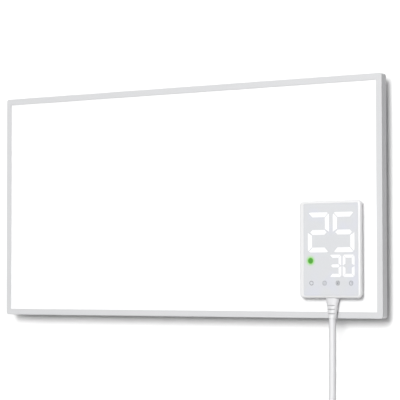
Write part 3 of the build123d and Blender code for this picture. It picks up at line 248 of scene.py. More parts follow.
def build_tone_group() -> bpy.types.NodeTree:
    """Build the group for slow drifts of tone and for handling marks.

    Returns:
        A group with Vector, Colour, Scale, Drift, Roughness and Marks in, Colour and Roughness out.
    """
    net, given, out = new_group(
        "tone_and_handling",
        {
            "Vector": (0.0, 0.0, 0.0),
            "Colour": (0.5, 0.5, 0.5, 1.0),
            "Scale": 12.0,
            "Drift": 0.04,
            "Roughness": 0.5,
            "Marks": 0.1,
        },
        {"Colour": "NodeSocketColor", "Roughness": "NodeSocketFloat"},
    )
    slow = net.add("ShaderNodeTexNoise", Detail=3.0, Roughness=0.5)
    net.join(given.outputs["Vector"], slow.inputs["Vector"])
    net.join(given.outputs["Scale"], slow.inputs["Scale"])
    swing = net.math("MULTIPLY", net.math("SUBTRACT", slow.outputs[0], 0.5), given.outputs["Drift"])
    factor = net.math("ADD", net.math("MULTIPLY", swing, 2.0), 1.0)
    tone = net.add("ShaderNodeVectorMath", {"operation": "SCALE"})
    net.join(given.outputs["Colour"], tone.inputs[0])
    net.join(factor, tone.inputs["Scale"])
    net.join(tone.outputs[0], out.inputs["Colour"])
    smears = net.add("ShaderNodeTexNoise", Detail=5.0, Roughness=0.65, Distortion=0.6)
    net.join(given.outputs["Vector"], smears.inputs["Vector"])
    net.join(net.math("MULTIPLY", given.outputs["Scale"], 5.0), smears.inputs["Scale"])
    marks = net.math("MULTIPLY", net.ramp(smears.outputs[0], 0.45, 0.75), given.outputs["Marks"])
    net.join(net.math("ADD", given.outputs["Roughness"], marks), out.inputs["Roughness"])
    return net.tree


def build_dust_group() -> bpy.types.NodeTree:
    """Build the group that settles a little dust on faces that look up.

    Returns:
        A group with Colour, Vector and Amount in, Colour out.
    """
    net, given, out = new_group(
        "settled_dust",
        {"Colour": (0.5, 0.5, 0.5, 1.0), "Vector": (0.0, 0.0, 0.0), "Amount": 0.1},
        {"Colour": "NodeSocketColor"},
    )
    shape = net.add("ShaderNodeNewGeometry")
    split = net.add("ShaderNodeSeparateXYZ")
    net.join(shape.outputs["Normal"], split.inputs[0])
    specks = net.add("ShaderNodeTexNoise", Scale=420.0, Detail=4.0, Roughness=0.7)
    net.join(given.outputs["Vector"], specks.inputs["Vector"])
    upward = net.ramp(split.outputs[2], 0.55, 0.95)
    share = net.math("MULTIPLY", upward, net.ramp(specks.outputs[0], 0.4, 0.7))
    share = net.math("MULTIPLY", share, given.outputs["Amount"])
    net.join(net.blend(share, given.outputs["Colour"], DUST_COLOUR), out.inputs["Colour"])
    return net.tree


def build_glow_group() -> bpy.types.NodeTree:
    """Build the group for light that spreads from a lamp under a tinted sheet.

    Returns:
        A group with Vector, Radius and Reach in, Mask out: 1 over the lamp, 0 past its reach.
    """
    net, given, out = new_group(
        "lamp_spread",
        {"Vector": (0.0, 0.0, 0.0), "Radius": 0.003, "Reach": 0.006},
        {"Mask": "NodeSocketFloat"},
    )
    length = net.add("ShaderNodeVectorMath", {"operation": "LENGTH"})
    net.join(given.outputs["Vector"], length.inputs[0])
    past = net.math("SUBTRACT", length.outputs["Value"], given.outputs["Radius"])
    span = net.math("SUBTRACT", given.outputs["Reach"], given.outputs["Radius"])
    fade = net.math("SUBTRACT", 1.0, net.math("DIVIDE", past, span))
    fade = net.math("MINIMUM", net.math("MAXIMUM", fade, 0.0), 1.0)
    net.join(net.math("MULTIPLY", fade, fade), out.inputs["Mask"])
    return net.tree


class Effects:
    """The shared shader groups, each built once when it is first asked for."""

    def __init__(self) -> None:
        """Start with no group built."""
        self.made: dict[str, bpy.types.NodeTree] = {}

    def place(self, net: Net, name: str, **values: object) -> bpy.types.Node:
        """Place a group in a material.

        Args:
            net: the material's net.
            name: tone, dust, glow or a Grain's value.
            **values: the group's own values.

        Returns:
            The group node.
        """
        if name not in self.made:
            builders = {"tone": build_tone_group, "dust": build_dust_group, "glow": build_glow_group}
            if name in builders:
                self.made[name] = builders[name]()
            else:
                self.made[name] = build_grain_group(Grain(name))
        node = net.add("ShaderNodeGroup")
        node.node_tree = self.made[name]
        for label, value in values.items():
            node.inputs[label].default_value = value
        return node


effects = Effects()


# ---------------------------------------------------------------------------------------------
# Finishes
# ---------------------------------------------------------------------------------------------


@dataclass(frozen=True)
class Finish:
    """A moulded, coated or metal surface."""

    name: str
    colour: Colour
    roughness: float = 0.5
    metallic: float = 0.0
    grain: Grain = Grain.MOULDED
    grain_scale: float = 1400.0
    grain_stretch: Point = (1.0, 1.0, 1.0)
    grain_depth: float = 0.00002
    tone_scale: float = 12.0
    drift: float = 0.03
    marks: float = 0.08
    dust: float = 0.12
    coat: float = 0.0
    specular: float = 0.5
    sheen: float = 0.0
    transmission: float = 0.0

    def start(self) -> tuple[Net, bpy.types.Node, bpy.types.NodeSocket]:
        """Start the material.

        Returns:
            The net, the shader and the socket with the piece's own coordinates.
        """
        material = bpy.data.materials.new(self.name)
        material.use_nodes = True
        net = Net(material.node_tree)
        shader = material.node_tree.nodes["Principled BSDF"]
        return net, shader, net.add("ShaderNodeTexCoord").outputs["Object"]

    def paint(self, net: Net, where: bpy.types.NodeSocket) -> object:
        """Give the surface's base colour.

        Args:
            net: the material's net.
            where: the piece's own coordinates.

        Returns:
            A colour or its socket.
        """
        return self.colour

    def texture(self, net: Net, shader: bpy.types.Node, where: bpy.types.NodeSocket) -> bpy.types.Node:
        """Add the grain, its bump and its mask.

        Args:
            net: the material's net.
            shader: the shader to feed.
            where: the piece's own coordinates.

        Returns:
            The grain's node.
        """
        grain = effects.place(net, self.grain.value, Scale=self.grain_scale, Stretch=self.grain_stretch)
        net.join(where, grain.inputs["Vector"])
        bump = net.add("ShaderNodeBump", Strength=BUMP_STRENGTH, Distance=self.grain_depth)
        net.join(grain.outputs["Height"], bump.inputs["Height"])
        net.join(bump.outputs[0], shader.inputs["Normal"])
        return grain

    def build(self) -> bpy.types.Material:
        """Build the material.

        Returns:
            The finished material.
        """
        net, shader, where = self.start()
        grain = self.texture(net, shader, where)
        tone = effects.place(
            net, "tone", Scale=self.tone_scale, Drift=self.drift, Roughness=self.roughness, Marks=self.marks
        )
        net.join(where, tone.inputs["Vector"])
        base = self.paint(net, where)
        if isinstance(base, tuple):
            tone.inputs["Colour"].default_value = (*base, 1.0)
        else:
            net.join(base, tone.inputs["Colour"])
        colour = tone.outputs["Colour"]
        if self.grain in GRAIN_SHADES:
            darkness, amount = GRAIN_SHADES[self.grain]
            share = net.math("MULTIPLY", grain.outputs["Mask"], amount)
            colour = net.blend(share, colour, tuple(darkness * part for part in self.colour))
        if self.dust:
            dust = effects.place(net, "dust", Amount=self.dust)
            net.join(colour, dust.inputs["Colour"])
            net.join(where, dust.inputs["Vector"])
            colour = dust.outputs["Colour"]
        net.join(colour, shader.inputs["Base Color"])
        net.join(tone.outputs["Roughness"], shader.inputs["Roughness"])
        shader.inputs["Metallic"].default_value = self.metallic
        shader.inputs["Coat Weight"].default_value = self.coat
        shader.inputs["Coat Roughness"].default_value = COAT_ROUGHNESS
        shader.inputs["Specular IOR Level"].default_value = self.specular
        shader.inputs["Sheen Weight"].default_value = self.sheen
        shader.inputs["Transmission Weight"].default_value = self.transmission
        self.light_up(net, shader, where)
        return bpy.data.materials[self.name]

    def light_up(self, net: Net, shader: bpy.types.Node, where: bpy.types.NodeSocket) -> None:
        """Let the surface give light; a plain finish gives none."""


@dataclass(frozen=True)
class LampFinish(Finish):
    """A diffuser that light shines through."""

    glow: Colour = (1.0, 1.0, 1.0)
    strength: float = 1.0
    unevenness: float = 0.04
    patch_scale: float = 260.0

    def light_up(self, net: Net, shader: bpy.types.Node, where: bpy.types.NodeSocket) -> None:
        """Make the diffuser give its own, slightly uneven light."""
        patches = net.add("ShaderNodeTexNoise", Scale=self.patch_scale, Detail=1.0)
        net.join(where, patches.inputs["Vector"])
        dimmer = tuple((1.0 - 2.0 * self.unevenness) * part for part in self.glow)
        net.join(net.blend(patches.outputs[0], self.glow, dimmer), shader.inputs["Emission Color"])
        shader.inputs["Emission Strength"].default_value = self.strength


@dataclass(frozen=True)
class LensFinish(Finish):
    """The tinted display sheet, with faint cool patches and the status lamp's spread."""

    lamp: Point = (0.0, 0.0, 0.0)
    lamp_radius: float = 0.0035
    lamp_reach: float = 0.0075
    lamp_colour: Colour = (0.22, 0.62, 0.10)
    lamp_share: float = 0.95
    patch_colour: Colour = (0.573, 0.587, 0.675)
    patch_scale: float = 38.0
    patch_share: float = 0.5

    def paint(self, net: Net, where: bpy.types.NodeSocket) -> bpy.types.NodeSocket:
        """Tint the sheet, with cool patches and the lamp's spread.

        Args:
            net: the material's net.
            where: the piece's own coordinates.

        Returns:
            The colour's socket.
        """
        clouds = net.add("ShaderNodeTexNoise", Scale=self.patch_scale, Detail=1.0)
        net.join(where, clouds.inputs["Vector"])
        share = net.math("MULTIPLY", net.ramp(clouds.outputs[0], 0.5, 0.72), self.patch_share)
        tint = net.blend(share, self.colour, self.patch_colour)
        moved = net.add("ShaderNodeVectorMath", {"operation": "SUBTRACT"})
        net.join(where, moved.inputs[0])
        moved.inputs[1].default_value = self.lamp
        spread = effects.place(net, "glow", Radius=self.lamp_radius, Reach=self.lamp_reach)
        net.join(moved.outputs[0], spread.inputs["Vector"])
        share = net.math("MULTIPLY", spread.outputs["Mask"], self.lamp_share)
        return net.blend(share, tint, self.lamp_colour)


@dataclass(frozen=True)
class GroovedFinish(Finish):
    """Moulded plastic with painted shade in its cross grooves, which are measured from its lower end's
    middle.
    """

    end: Point = (0.0, 0.0, 0.0)
    groove_rises: tuple[float, ...] = (0.0058, 0.0110, 0.0159)
    groove_width: float = 0.0106
    groove_height: float = 0.0014
    # How dark the painted shade in the grooves is, as a share of the colour.
    painted_groove_shade: float = 0.28

    def paint(self, net: Net, where: bpy.types.NodeSocket) -> bpy.types.NodeSocket:
        """Darken what lies inside the grooves with painted shade.

        Args:
            net: the material's net.
            where: the piece's own coordinates.

        Returns:
            The colour's socket.
        """
        split = net.add("ShaderNodeSeparateXYZ")
        net.join(where, split.inputs[0])
        inside = net.within(split.outputs["X"], self.end[0], self.groove_width)
        rows = 0.0
        for rise in self.groove_rises:
            row = net.within(split.outputs["Z"], self.end[2] + rise, self.groove_height)
            rows = net.math("MAXIMUM", rows, row)
        # Painted shade: a darker copy of the plastic's colour fills the grooves.
        darker = tuple((1.0 - self.painted_groove_shade) * part for part in self.colour)
        return net.blend(net.math("MULTIPLY", inside, rows), self.colour, darker)


@dataclass(frozen=True)
class LaminateFinish(Finish):
    """A circuit board with solder mask over its copper runs."""

    run_colour: Colour = (0.02, 0.20, 0.07)
    run_pitch: float = 0.0032
    run_width: float = 0.00035
    run_length: float = 0.017

    def paint(self, net: Net, where: bpy.types.NodeSocket) -> bpy.types.NodeSocket:
        """Draw the copper runs as lighter bands under the mask.

        Args:
            net: the material's net.
            where: the piece's own coordinates.

        Returns:
            The colour's socket.
        """
        black, white = (0.0, 0.0, 0.0, 1.0), (1.0, 1.0, 1.0, 1.0)
        bricks = net.add("ShaderNodeTexBrick", Scale=1.0, Color1=black, Color2=black, Mortar=white)
        bricks.inputs["Mortar Size"].default_value = self.run_width
        bricks.inputs["Brick Width"].default_value = self.run_length
        bricks.inputs["Row Height"].default_value = self.run_pitch
        turned = net.add("ShaderNodeMapping", Rotation=(math.radians(90), 0.0, 0.0))
        net.join(where, turned.inputs[0])
        net.join(turned.outputs[0], bricks.inputs["Vector"])
        return net.blend(bricks.outputs["Color"], self.colour, self.run_colour)


@dataclass(frozen=True)
class StripedWireFinish(Finish):
    """Wire cover with a second colour in a band along one side."""

    band_colour: Colour = (0.55, 0.50, 0.02)
    band_pitch: float = 0.0016

    def paint(self, net: Net, where: bpy.types.NodeSocket) -> bpy.types.NodeSocket:
        """Run the second colour beside the first.

        Args:
            net: the material's net.
            where: the piece's own coordinates.

        Returns:
            The colour's socket.
        """
        bands = net.add("ShaderNodeTexWave", {"bands_direction": "X"}, Scale=WAVE_PITCH / self.band_pitch)
        net.join(where, bands.inputs["Vector"])
        return net.blend(net.ramp(bands.outputs["Fac"], 0.45, 0.55), self.colour, self.band_colour)


# The lead's moulded plastic, which its strain relief shares.
LEAD_LOOK = {
    "colour": (0.66, 0.66, 0.67), "roughness": 0.36, "grain_scale": 1500, "grain_depth": 1.4e-5,
    "drift": 0.02, "marks": 0.1, "tone_scale": 25.0,
}

# Light grey values are set for the studio below: its lights make an albedo of about 0.8 white.
FINISHES: tuple[Finish, ...] = (
    Finish("bracket_coat", (0.72, 0.73, 0.74), 0.5, grain=Grain.POWDER, grain_scale=900, grain_depth=6e-5),
    Finish(
        "frame_aluminium", (0.575, 0.578, 0.588), 0.45, grain=Grain.POWDER, grain_scale=2600,
        grain_depth=1.2e-5, drift=0.02, marks=0.05, dust=0.05,
    ),
    Finish(
        "raw_aluminium", (0.72, 0.73, 0.75), 0.32, metallic=1.0, grain=Grain.BRUSHED, grain_scale=500,
        grain_stretch=(1.0, 1.0, 24.0), grain_depth=1e-5, marks=0.15,
    ),
    Finish(
        "front_enamel", (0.87, 0.87, 0.875), 0.36, grain=Grain.POWDER, grain_scale=900, grain_depth=2.4e-5,
        drift=0.008, marks=0.06, dust=0.0, tone_scale=5.0,
    ),
    Finish("board_laminate", (0.50, 0.42, 0.24), 0.55, grain=Grain.FELTED, grain_scale=700),
    Finish("carbon_track", (0.02, 0.02, 0.022), 0.6, grain_scale=1800),
    Finish("amber_film", (0.55, 0.27, 0.04), 0.22, coat=0.4, drift=0.08),
    Finish("mineral_felt", (0.62, 0.60, 0.55), 0.95, grain=Grain.FELTED, grain_scale=420, grain_depth=4e-4),
    Finish(
        "bright_foil", (0.86, 0.87, 0.88), 0.18, metallic=1.0, grain=Grain.CRINKLED, grain_scale=160,
        grain_depth=1.2e-4,
    ),
    Finish(
        "galvanised_steel", (0.66, 0.68, 0.70), 0.42, metallic=0.85, grain=Grain.SPANGLED, grain_scale=260,
        grain_depth=1e-5, drift=0.06, marks=0.18, tone_scale=9.0,
    ),
    Finish("box_plastic", (0.70, 0.70, 0.69), 0.55, grain=Grain.POWDER, grain_scale=1500, grain_depth=5e-5),
    Finish("zinc_steel", (0.70, 0.70, 0.66), 0.3, metallic=1.0, grain=Grain.BRUSHED, grain_scale=900),
    LaminateFinish("circuit_green", (0.012, 0.13, 0.045), 0.35, coat=0.35, dust=0.0),
    Finish("relay_plastic", (0.02, 0.06, 0.22), 0.4, dust=0.0),
    Finish("black_plastic", (0.018, 0.018, 0.02), 0.45, dust=0.0),
    Finish("fuse_glass", (0.9, 0.93, 0.92), 0.06, transmission=0.85, dust=0.0, marks=0.02),
    Finish("capacitor_plastic", (0.62, 0.42, 0.05), 0.4, coat=0.2, dust=0.0),
    Finish("terminal_plastic", (0.05, 0.24, 0.10), 0.45, dust=0.0),
    Finish(
        "unit_plastic", (0.71, 0.71, 0.715), 0.30, grain_scale=2200, grain_depth=6e-6, drift=0.01, marks=0.05,
        dust=0.03, coat=0.15,
    ),
    Finish("black_rubber", (0.022, 0.022, 0.023), 0.75, grain_scale=1600, sheen=0.2),
    Finish("brown_wire", (0.13, 0.045, 0.015), 0.45, dust=0.0),
    Finish("blue_wire", (0.02, 0.09, 0.42), 0.45, dust=0.0),
    StripedWireFinish("earth_wire", (0.03, 0.26, 0.05), 0.45, dust=0.0),
    Finish("white_silicone", (0.78, 0.78, 0.75), 0.6, dust=0.0),
    Finish("module_plastic", (0.05, 0.05, 0.055), 0.6, grain=Grain.POWDER, grain_scale=2000, dust=0.0),
    LampFinish(
        "green_light", (0.03, 0.14, 0.015), 0.35, dust=0.0, glow=(0.22, 0.92, 0.10), strength=0.25,
        unevenness=0.12,
    ),
    Finish("touch_foam", (0.05, 0.05, 0.055), 0.9, grain=Grain.FELTED, grain_scale=900, dust=0.0),
    Finish("sensor_epoxy", (0.01, 0.01, 0.011), 0.2, coat=0.4, dust=0.0),
    LensFinish(
        "display_tint", (0.588, 0.597, 0.613), 0.16, grain_scale=1800, grain_depth=1.5e-6, drift=0.01,
        marks=0.05, dust=0.0, specular=0.35,
    ),
    LampFinish("lit_white", (0.5, 0.5, 0.5), 0.3, dust=0.0, glow=(0.97, 0.98, 1.0), strength=0.42),
    Finish("icon_ink", (0.09, 0.09, 0.11), 0.5, dust=0.0),
    Finish("lead_plastic", **LEAD_LOOK),
    GroovedFinish("relief_plastic", **LEAD_LOOK),
    Finish("tie_strap", (0.06, 0.06, 0.065), 0.5, grain=Grain.BRUSHED, grain_scale=900, grain_depth=3e-5),
    Finish("nickel_brass", (0.78, 0.74, 0.66), 0.2, metallic=1.0, grain=Grain.BRUSHED, grain_scale=700),
)


def find_finish(name: str) -> Finish:
    """Give a finish by its name."""
    return next(finish for finish in FINISHES if finish.name == name)


class PaintShop:
    """Holds the finished materials and dresses the pieces in them."""

    def __init__(self, finishes: tuple[Finish, ...]) -> None:
        """Build every material.

        Args:
            finishes: the finishes, named as the record's slots apart from the strain relief's.
        """
        self.materials: dict[str, bpy.types.Material] = {}
        for finish in finishes:
            self.mix(finish)

    def mix(self, finish: Finish) -> None:
        """Build one finish's material, and keep it under the finish's name.

        Args:
            finish: the finish to build.
        """
        for old in [m for m in bpy.data.materials if m.name == finish.name]:
            old.name = f"{finish.name}_plain"
        self.materials[finish.name] = finish.build()

    def dress_node(self, name: str, finish: str) -> None:
        """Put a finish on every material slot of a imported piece.

        Args:
            name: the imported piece's name.
            finish: the finish's name.
        """
        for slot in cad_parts[name].material_slots:
            slot.material = self.materials[finish]
        log.info("%s wears %s", name, finish)

    def dress_piece(self, piece: bpy.types.Object, finish: str, body: str) -> None:
        """Put a finish on a piece made here and let it ride on its body.

        Args:
            piece: the piece.
            finish: the finish's name, which is a slot of the record.
            body: the body that it moves with.
        """
        piece.data.materials.clear()
        piece.data.materials.append(self.materials[finish])
        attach(piece, body)
        log.info("%s wears %s and rides on %s", piece.name, finish, body)


# ---------------------------------------------------------------------------------------------
# Repeats: geometry node trees
# ---------------------------------------------------------------------------------------------


@dataclass
class RibRing:
    """Small ribs set round an axis that points down, made by a geometry node tree."""

    name: str
    centre: Point
    count: int = 24
    radius: float = 0.015
    rib_radius: float = 0.0006
    rib_length: float = 0.012
    lean: float = 0.0

    def tree(self, material: bpy.types.Material) -> bpy.types.NodeTree:
        """Build the tree.

        Args:
            material: the ribs' material.

        Returns:
            A tree with Count, Ring Radius, Rib Radius, Rib Length and Lean as inputs.
        """
        tree = bpy.data.node_groups.new(f"{self.name}_tree", "GeometryNodeTree")
        face = tree.interface
        face.new_socket("Geometry", in_out="INPUT", socket_type="NodeSocketGeometry")
        face.new_socket("Count", in_out="INPUT", socket_type="NodeSocketInt")
        for label in ("Ring Radius", "Rib Radius", "Rib Length", "Lean"):
            face.new_socket(label, in_out="INPUT", socket_type="NodeSocketFloat")
        face.new_socket("Geometry", in_out="OUTPUT", socket_type="NodeSocketGeometry")
        net = Net(tree)
        given, out = net.add("NodeGroupInput"), net.add("NodeGroupOutput")
        ring = net.add("GeometryNodeMeshCircle")
        net.join(given.outputs["Count"], ring.inputs["Vertices"])
        net.join(given.outputs["Ring Radius"], ring.inputs["Radius"])
        rib = net.add("GeometryNodeMeshCylinder", Vertices=8, Side_Segments=3)
        net.join(given.outputs["Rib Radius"], rib.inputs["Radius"])
        net.join(given.outputs["Rib Length"], rib.inputs["Depth"])
        place = net.add("GeometryNodeInputPosition")
        split = net.add("ShaderNodeSeparateXYZ")
        net.join(place.outputs[0], split.inputs[0])
        around = net.math("ARCTAN2", split.outputs[1], split.outputs[0])
        turn = net.add("ShaderNodeCombineXYZ")
        net.join(given.outputs["Lean"], turn.inputs[1])
        net.join(around, turn.inputs[2])
        spread = net.add("GeometryNodeInstanceOnPoints")
        net.join(ring.outputs[0], spread.inputs["Points"])
        net.join(rib.outputs[0], spread.inputs["Instance"])
        net.join(turn.outputs[0], spread.inputs["Rotation"])
        real = net.add("GeometryNodeRealizeInstances")
        net.join(spread.outputs[0], real.inputs[0])
        coat = net.add("GeometryNodeSetMaterial")
        coat.inputs["Material"].default_value = material
        net.join(real.outputs[0], coat.inputs["Geometry"])
        net.join(coat.outputs[0], out.inputs[0])
        return tree

    def build(self, material: bpy.types.Material) -> bpy.types.Object:
        """Run the tree and turn its result into a plain mesh in its place.

        Args:
            material: the ribs' material.

        Returns:
            The ribs as one mesh object.
        """
        values = {
            "Count": self.count,
            "Ring Radius": self.radius,
            "Rib Radius": self.rib_radius,
            "Rib Length": self.rib_length,
            "Lean": self.lean,
        }
        mesh = run_tree(self.tree(material), values)
        mesh.name = self.name
        mesh.transform(Matrix.Translation(Vector(self.centre)))
        piece = bpy.data.objects.new(self.name, mesh)
        bpy.context.scene.collection.objects.link(piece)
        return piece


def run_tree(tree: bpy.types.NodeTree, values: dict[str, object]) -> bpy.types.Mesh:
    """Evaluate a geometry node tree once and keep its mesh.

    Args:
        tree: the tree.
        values: its inputs by name.

    Returns:
        The result as a plain mesh.
    """
    carrier = bpy.data.objects.new("carrier", bpy.data.meshes.new("carrier"))
    bpy.context.scene.collection.objects.link(carrier)
    modifier = carrier.modifiers.new("repeat", "NODES")
    modifier.node_group = tree
    for item in tree.interface.items_tree:
        if item.in_out == "INPUT" and item.name in values:
            modifier[item.identifier] = values[item.name]
    mesh = bpy.data.meshes.new_from_object(carrier.evaluated_get(bpy.context.evaluated_depsgraph_get()))
    carrier.modifiers.clear()
    bpy.data.objects.remove(carrier)
    return mesh


# ---------------------------------------------------------------------------------------------
# Studio
# ---------------------------------------------------------------------------------------------


@dataclass
class Studio:
    """The camera, the wall and floor behind the heater, and the lights.

    The camera was fitted to the panel's four corners in the photograph; its angles are in radians, and
    the key light's are in degrees.
    """

    camera_place: Point = (1.4390, -2.0474, -0.1017)
    camera_lens: float = 170.64
    camera_sensor: float = 36.0
    camera_yaw: float = -0.61047
    camera_pitch: float = 0.04184
    camera_roll: float = -0.00162
    wall_size: float = 3.0
    floor_level: float = -1.05
    key_turn: float = 17.8
    key_rise: float = 12.8
    key_distance: float = 8.0
    key_size: float = 2.75
    key_power: float = 578.0
    key_past_lead: float = 0.75
    rear_lights: tuple[tuple[str, Point, float], ...] = (
        ("rear_high", (-1.4, 2.6, 1.5), 58.0),
        ("rear_low", (0.7, 2.6, -1.2), 34.0),
    )
    rear_size: float = 1.8
    rear_target: Point = (0.0, 0.0, -0.1)
    surround: float = 0.80
    dark_side: float = 0.1
    dark_from: float = 0.25
    dark_to: float = 0.85
    bounce: float = 0.35
    floor_lift: float = 0.45

    def place_camera(self) -> None:
        """Stand the camera where the photograph was taken from."""
        lens = bpy.data.cameras.new("camera")
        lens.lens, lens.sensor_width = self.camera_lens, self.camera_sensor
        lens.clip_start, lens.clip_end = 0.05, 40.0
        camera = bpy.data.objects.new("camera", lens)
        yaw, pitch, roll = self.camera_yaw, self.camera_pitch, self.camera_roll
        ahead = Vector(
            (math.sin(yaw) * math.cos(pitch), math.cos(yaw) * math.cos(pitch), math.sin(pitch))
        )
        level = Vector((math.cos(yaw), -math.sin(yaw), 0.0))
        upright = level.cross(ahead)
        right = level * math.cos(roll) + upright * math.sin(roll)
        up = upright * math.cos(roll) - level * math.sin(roll)
        turn = Matrix((right, up, -ahead)).transposed().to_4x4()
        camera.matrix_world = Matrix.Translation(Vector(self.camera_place)) @ turn
        bpy.context.scene.collection.objects.link(camera)
        bpy.context.scene.camera = camera
        bpy.context.scene.view_settings.view_transform = "Standard"
        log.info("camera placed at %s", self.camera_place)

    def backdrop_material(self, name: str, lift: float) -> bpy.types.Material:
        """Build the pale backdrop, which can't be seen from behind and throws back little light.

        Args:
            name: the material's name.
            lift: how much brighter than its light the camera sees it.

        Returns:
            The material.
        """
        material = bpy.data.materials.new(name)
        material.use_nodes = True
        net = Net(material.node_tree)
        shader = material.node_tree.nodes["Principled BSDF"]
        where, path = net.add("ShaderNodeTexCoord"), net.add("ShaderNodeLightPath")
        noise = net.add("ShaderNodeTexNoise", Scale=3.0, Detail=2.0)
        net.join(where.outputs["Object"], noise.inputs["Vector"])
        pale = net.blend(noise.outputs[0], (0.94, 0.94, 0.94), (0.96, 0.96, 0.96))
        dim = net.blend(path.outputs["Is Camera Ray"], (self.bounce,) * 3, pale)
        net.join(dim, shader.inputs["Base Color"])
        shader.inputs["Roughness"].default_value = 0.9
        shader.inputs["Specular IOR Level"].default_value = 0.0
        shader.inputs["Emission Color"].default_value = (1.0, 1.0, 1.0, 1.0)
        seen = net.math("MULTIPLY", path.outputs["Is Camera Ray"], lift)
        net.join(seen, shader.inputs["Emission Strength"])
        clear = net.add("ShaderNodeBsdfTransparent")
        mix = net.add("ShaderNodeMixShader")
        side = net.add("ShaderNodeNewGeometry")
        net.join(side.outputs["Backfacing"], mix.inputs[0])
        net.join(shader.outputs[0], mix.inputs[1])
        net.join(clear.outputs[0], mix.inputs[2])
        net.join(mix.outputs[0], material.node_tree.nodes["Material Output"].inputs[0])
        return material

    def sheet(self, name: str, corners: list[Point], material: bpy.types.Material) -> bpy.types.Object:
        """Lay a staged sheet.

        Args:
            name: its name.
            corners: four corners, counter-clockwise seen from its front.
            material: its material.

        Returns:
            The sheet.
        """
        mesh = bpy.data.meshes.new(name)
        mesh.from_pydata(corners, [], [tuple(range(4))])
        mesh.materials.append(material)
        piece = bpy.data.objects.new(name, mesh)
        bpy.context.scene.collection.objects.link(piece)
        return piece

    def build_backdrop(self) -> None:
        """Lay the wall and the floor."""
        wall = self.backdrop_material("wall_paint", 0.0)
        floor = self.backdrop_material("floor", self.floor_lift)
        s, low = self.wall_size, self.floor_level
        self.sheet("wall", [(-s, 0, low), (s, 0, low), (s, 0, s), (-s, 0, s)], wall)
        self.sheet("floor", [(-s, -2 * s, low), (s, -2 * s, low), (s, 2 * s, low), (-s, 2 * s, low)], floor)
        log.info("wall and floor laid")

    def area_light(
        self, name: str, place: Vector, target: Vector, size: float, power: float
    ) -> bpy.types.Object:
        """Hang a square soft light that looks at a point.

        Args:
            name: its name.
            place: where it hangs.
            target: what it looks at.
            size: its side.
            power: its power in watts.

        Returns:
            The light.
        """
        lamp = bpy.data.lights.new(name, "AREA")
        lamp.shape, lamp.size, lamp.energy = "SQUARE", size, power
        light = bpy.data.objects.new(name, lamp)
        light.location = place
        light.rotation_euler = (target - place).to_track_quat("-Z", "Y").to_euler()
        bpy.context.scene.collection.objects.link(light)
        return light

    def stop_by_packed_pieces(self, light: bpy.types.Object) -> None:
        """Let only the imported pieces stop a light: it passes the wall, the floor and the thin lead.

        Args:
            light: the light.
        """
        casters = bpy.data.collections.new(f"{light.name}_casters")
        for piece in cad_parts.values():
            casters.objects.link(piece)
        light.light_linking.blocker_collection = casters

    def light_from_behind(self) -> None:
        """Hang the lights behind the wall, which doesn't stop them, for the views of the back."""
        for name, place, power in self.rear_lights:
            light = self.area_light(name, Vector(place), Vector(self.rear_target), self.rear_size, power)
            light.data.cycles.max_bounces = 0
            self.stop_by_packed_pieces(light)

    def light_from_front(self) -> None:
        """Hang the soft key light.

        It is two lights in one place. The lead stops only one of them, so its shadow on the wall stays
        faint beside the panel's own.
        """
        turn, rise = math.radians(self.key_turn), math.radians(self.key_rise)
        aim = Vector((math.sin(turn) * math.cos(rise), -math.cos(turn) * math.cos(rise), math.sin(rise)))
        place, middle = aim * self.key_distance, Vector((0, 0, 0))
        past = self.key_power * self.key_past_lead
        self.area_light("key", place, middle, self.key_size, self.key_power - past)
        self.stop_by_packed_pieces(self.area_light("key_past_lead", place, middle, self.key_size, past))

    def surround_with_light(self) -> None:
        """Set the even light all round, weaker from the two sides and white to the camera."""
        world = bpy.data.worlds.new("even_light")
        world.use_nodes = True
        shade = world.node_tree.nodes["Background"]
        net = Net(world.node_tree)
        way, split = net.add("ShaderNodeTexCoord"), net.add("ShaderNodeSeparateXYZ")
        net.join(way.outputs["Generated"], split.inputs[0])
        share = net.ramp(net.math("ABSOLUTE", split.outputs["X"]), self.dark_from, self.dark_to)
        strength = net.add(
            "ShaderNodeMapRange", To_Min=self.surround, To_Max=self.surround * self.dark_side
        )
        net.join(share, strength.inputs["Value"])
        seen = net.add("ShaderNodeLightPath").outputs["Is Camera Ray"]
        shade.inputs[0].default_value = (1.0, 1.0, 1.0, 1.0)
        net.join(net.math("MAXIMUM", strength.outputs[0], seen), shade.inputs[1])
        bpy.context.scene.world = world

    def build_lights(self) -> None:
        """Light the heater from the front, from behind and from all round."""
        self.light_from_front()
        self.light_from_behind()
        self.surround_with_light()
        log.info("lights hung")


# ---------------------------------------------------------------------------------------------
# Mains lead
# ---------------------------------------------------------------------------------------------


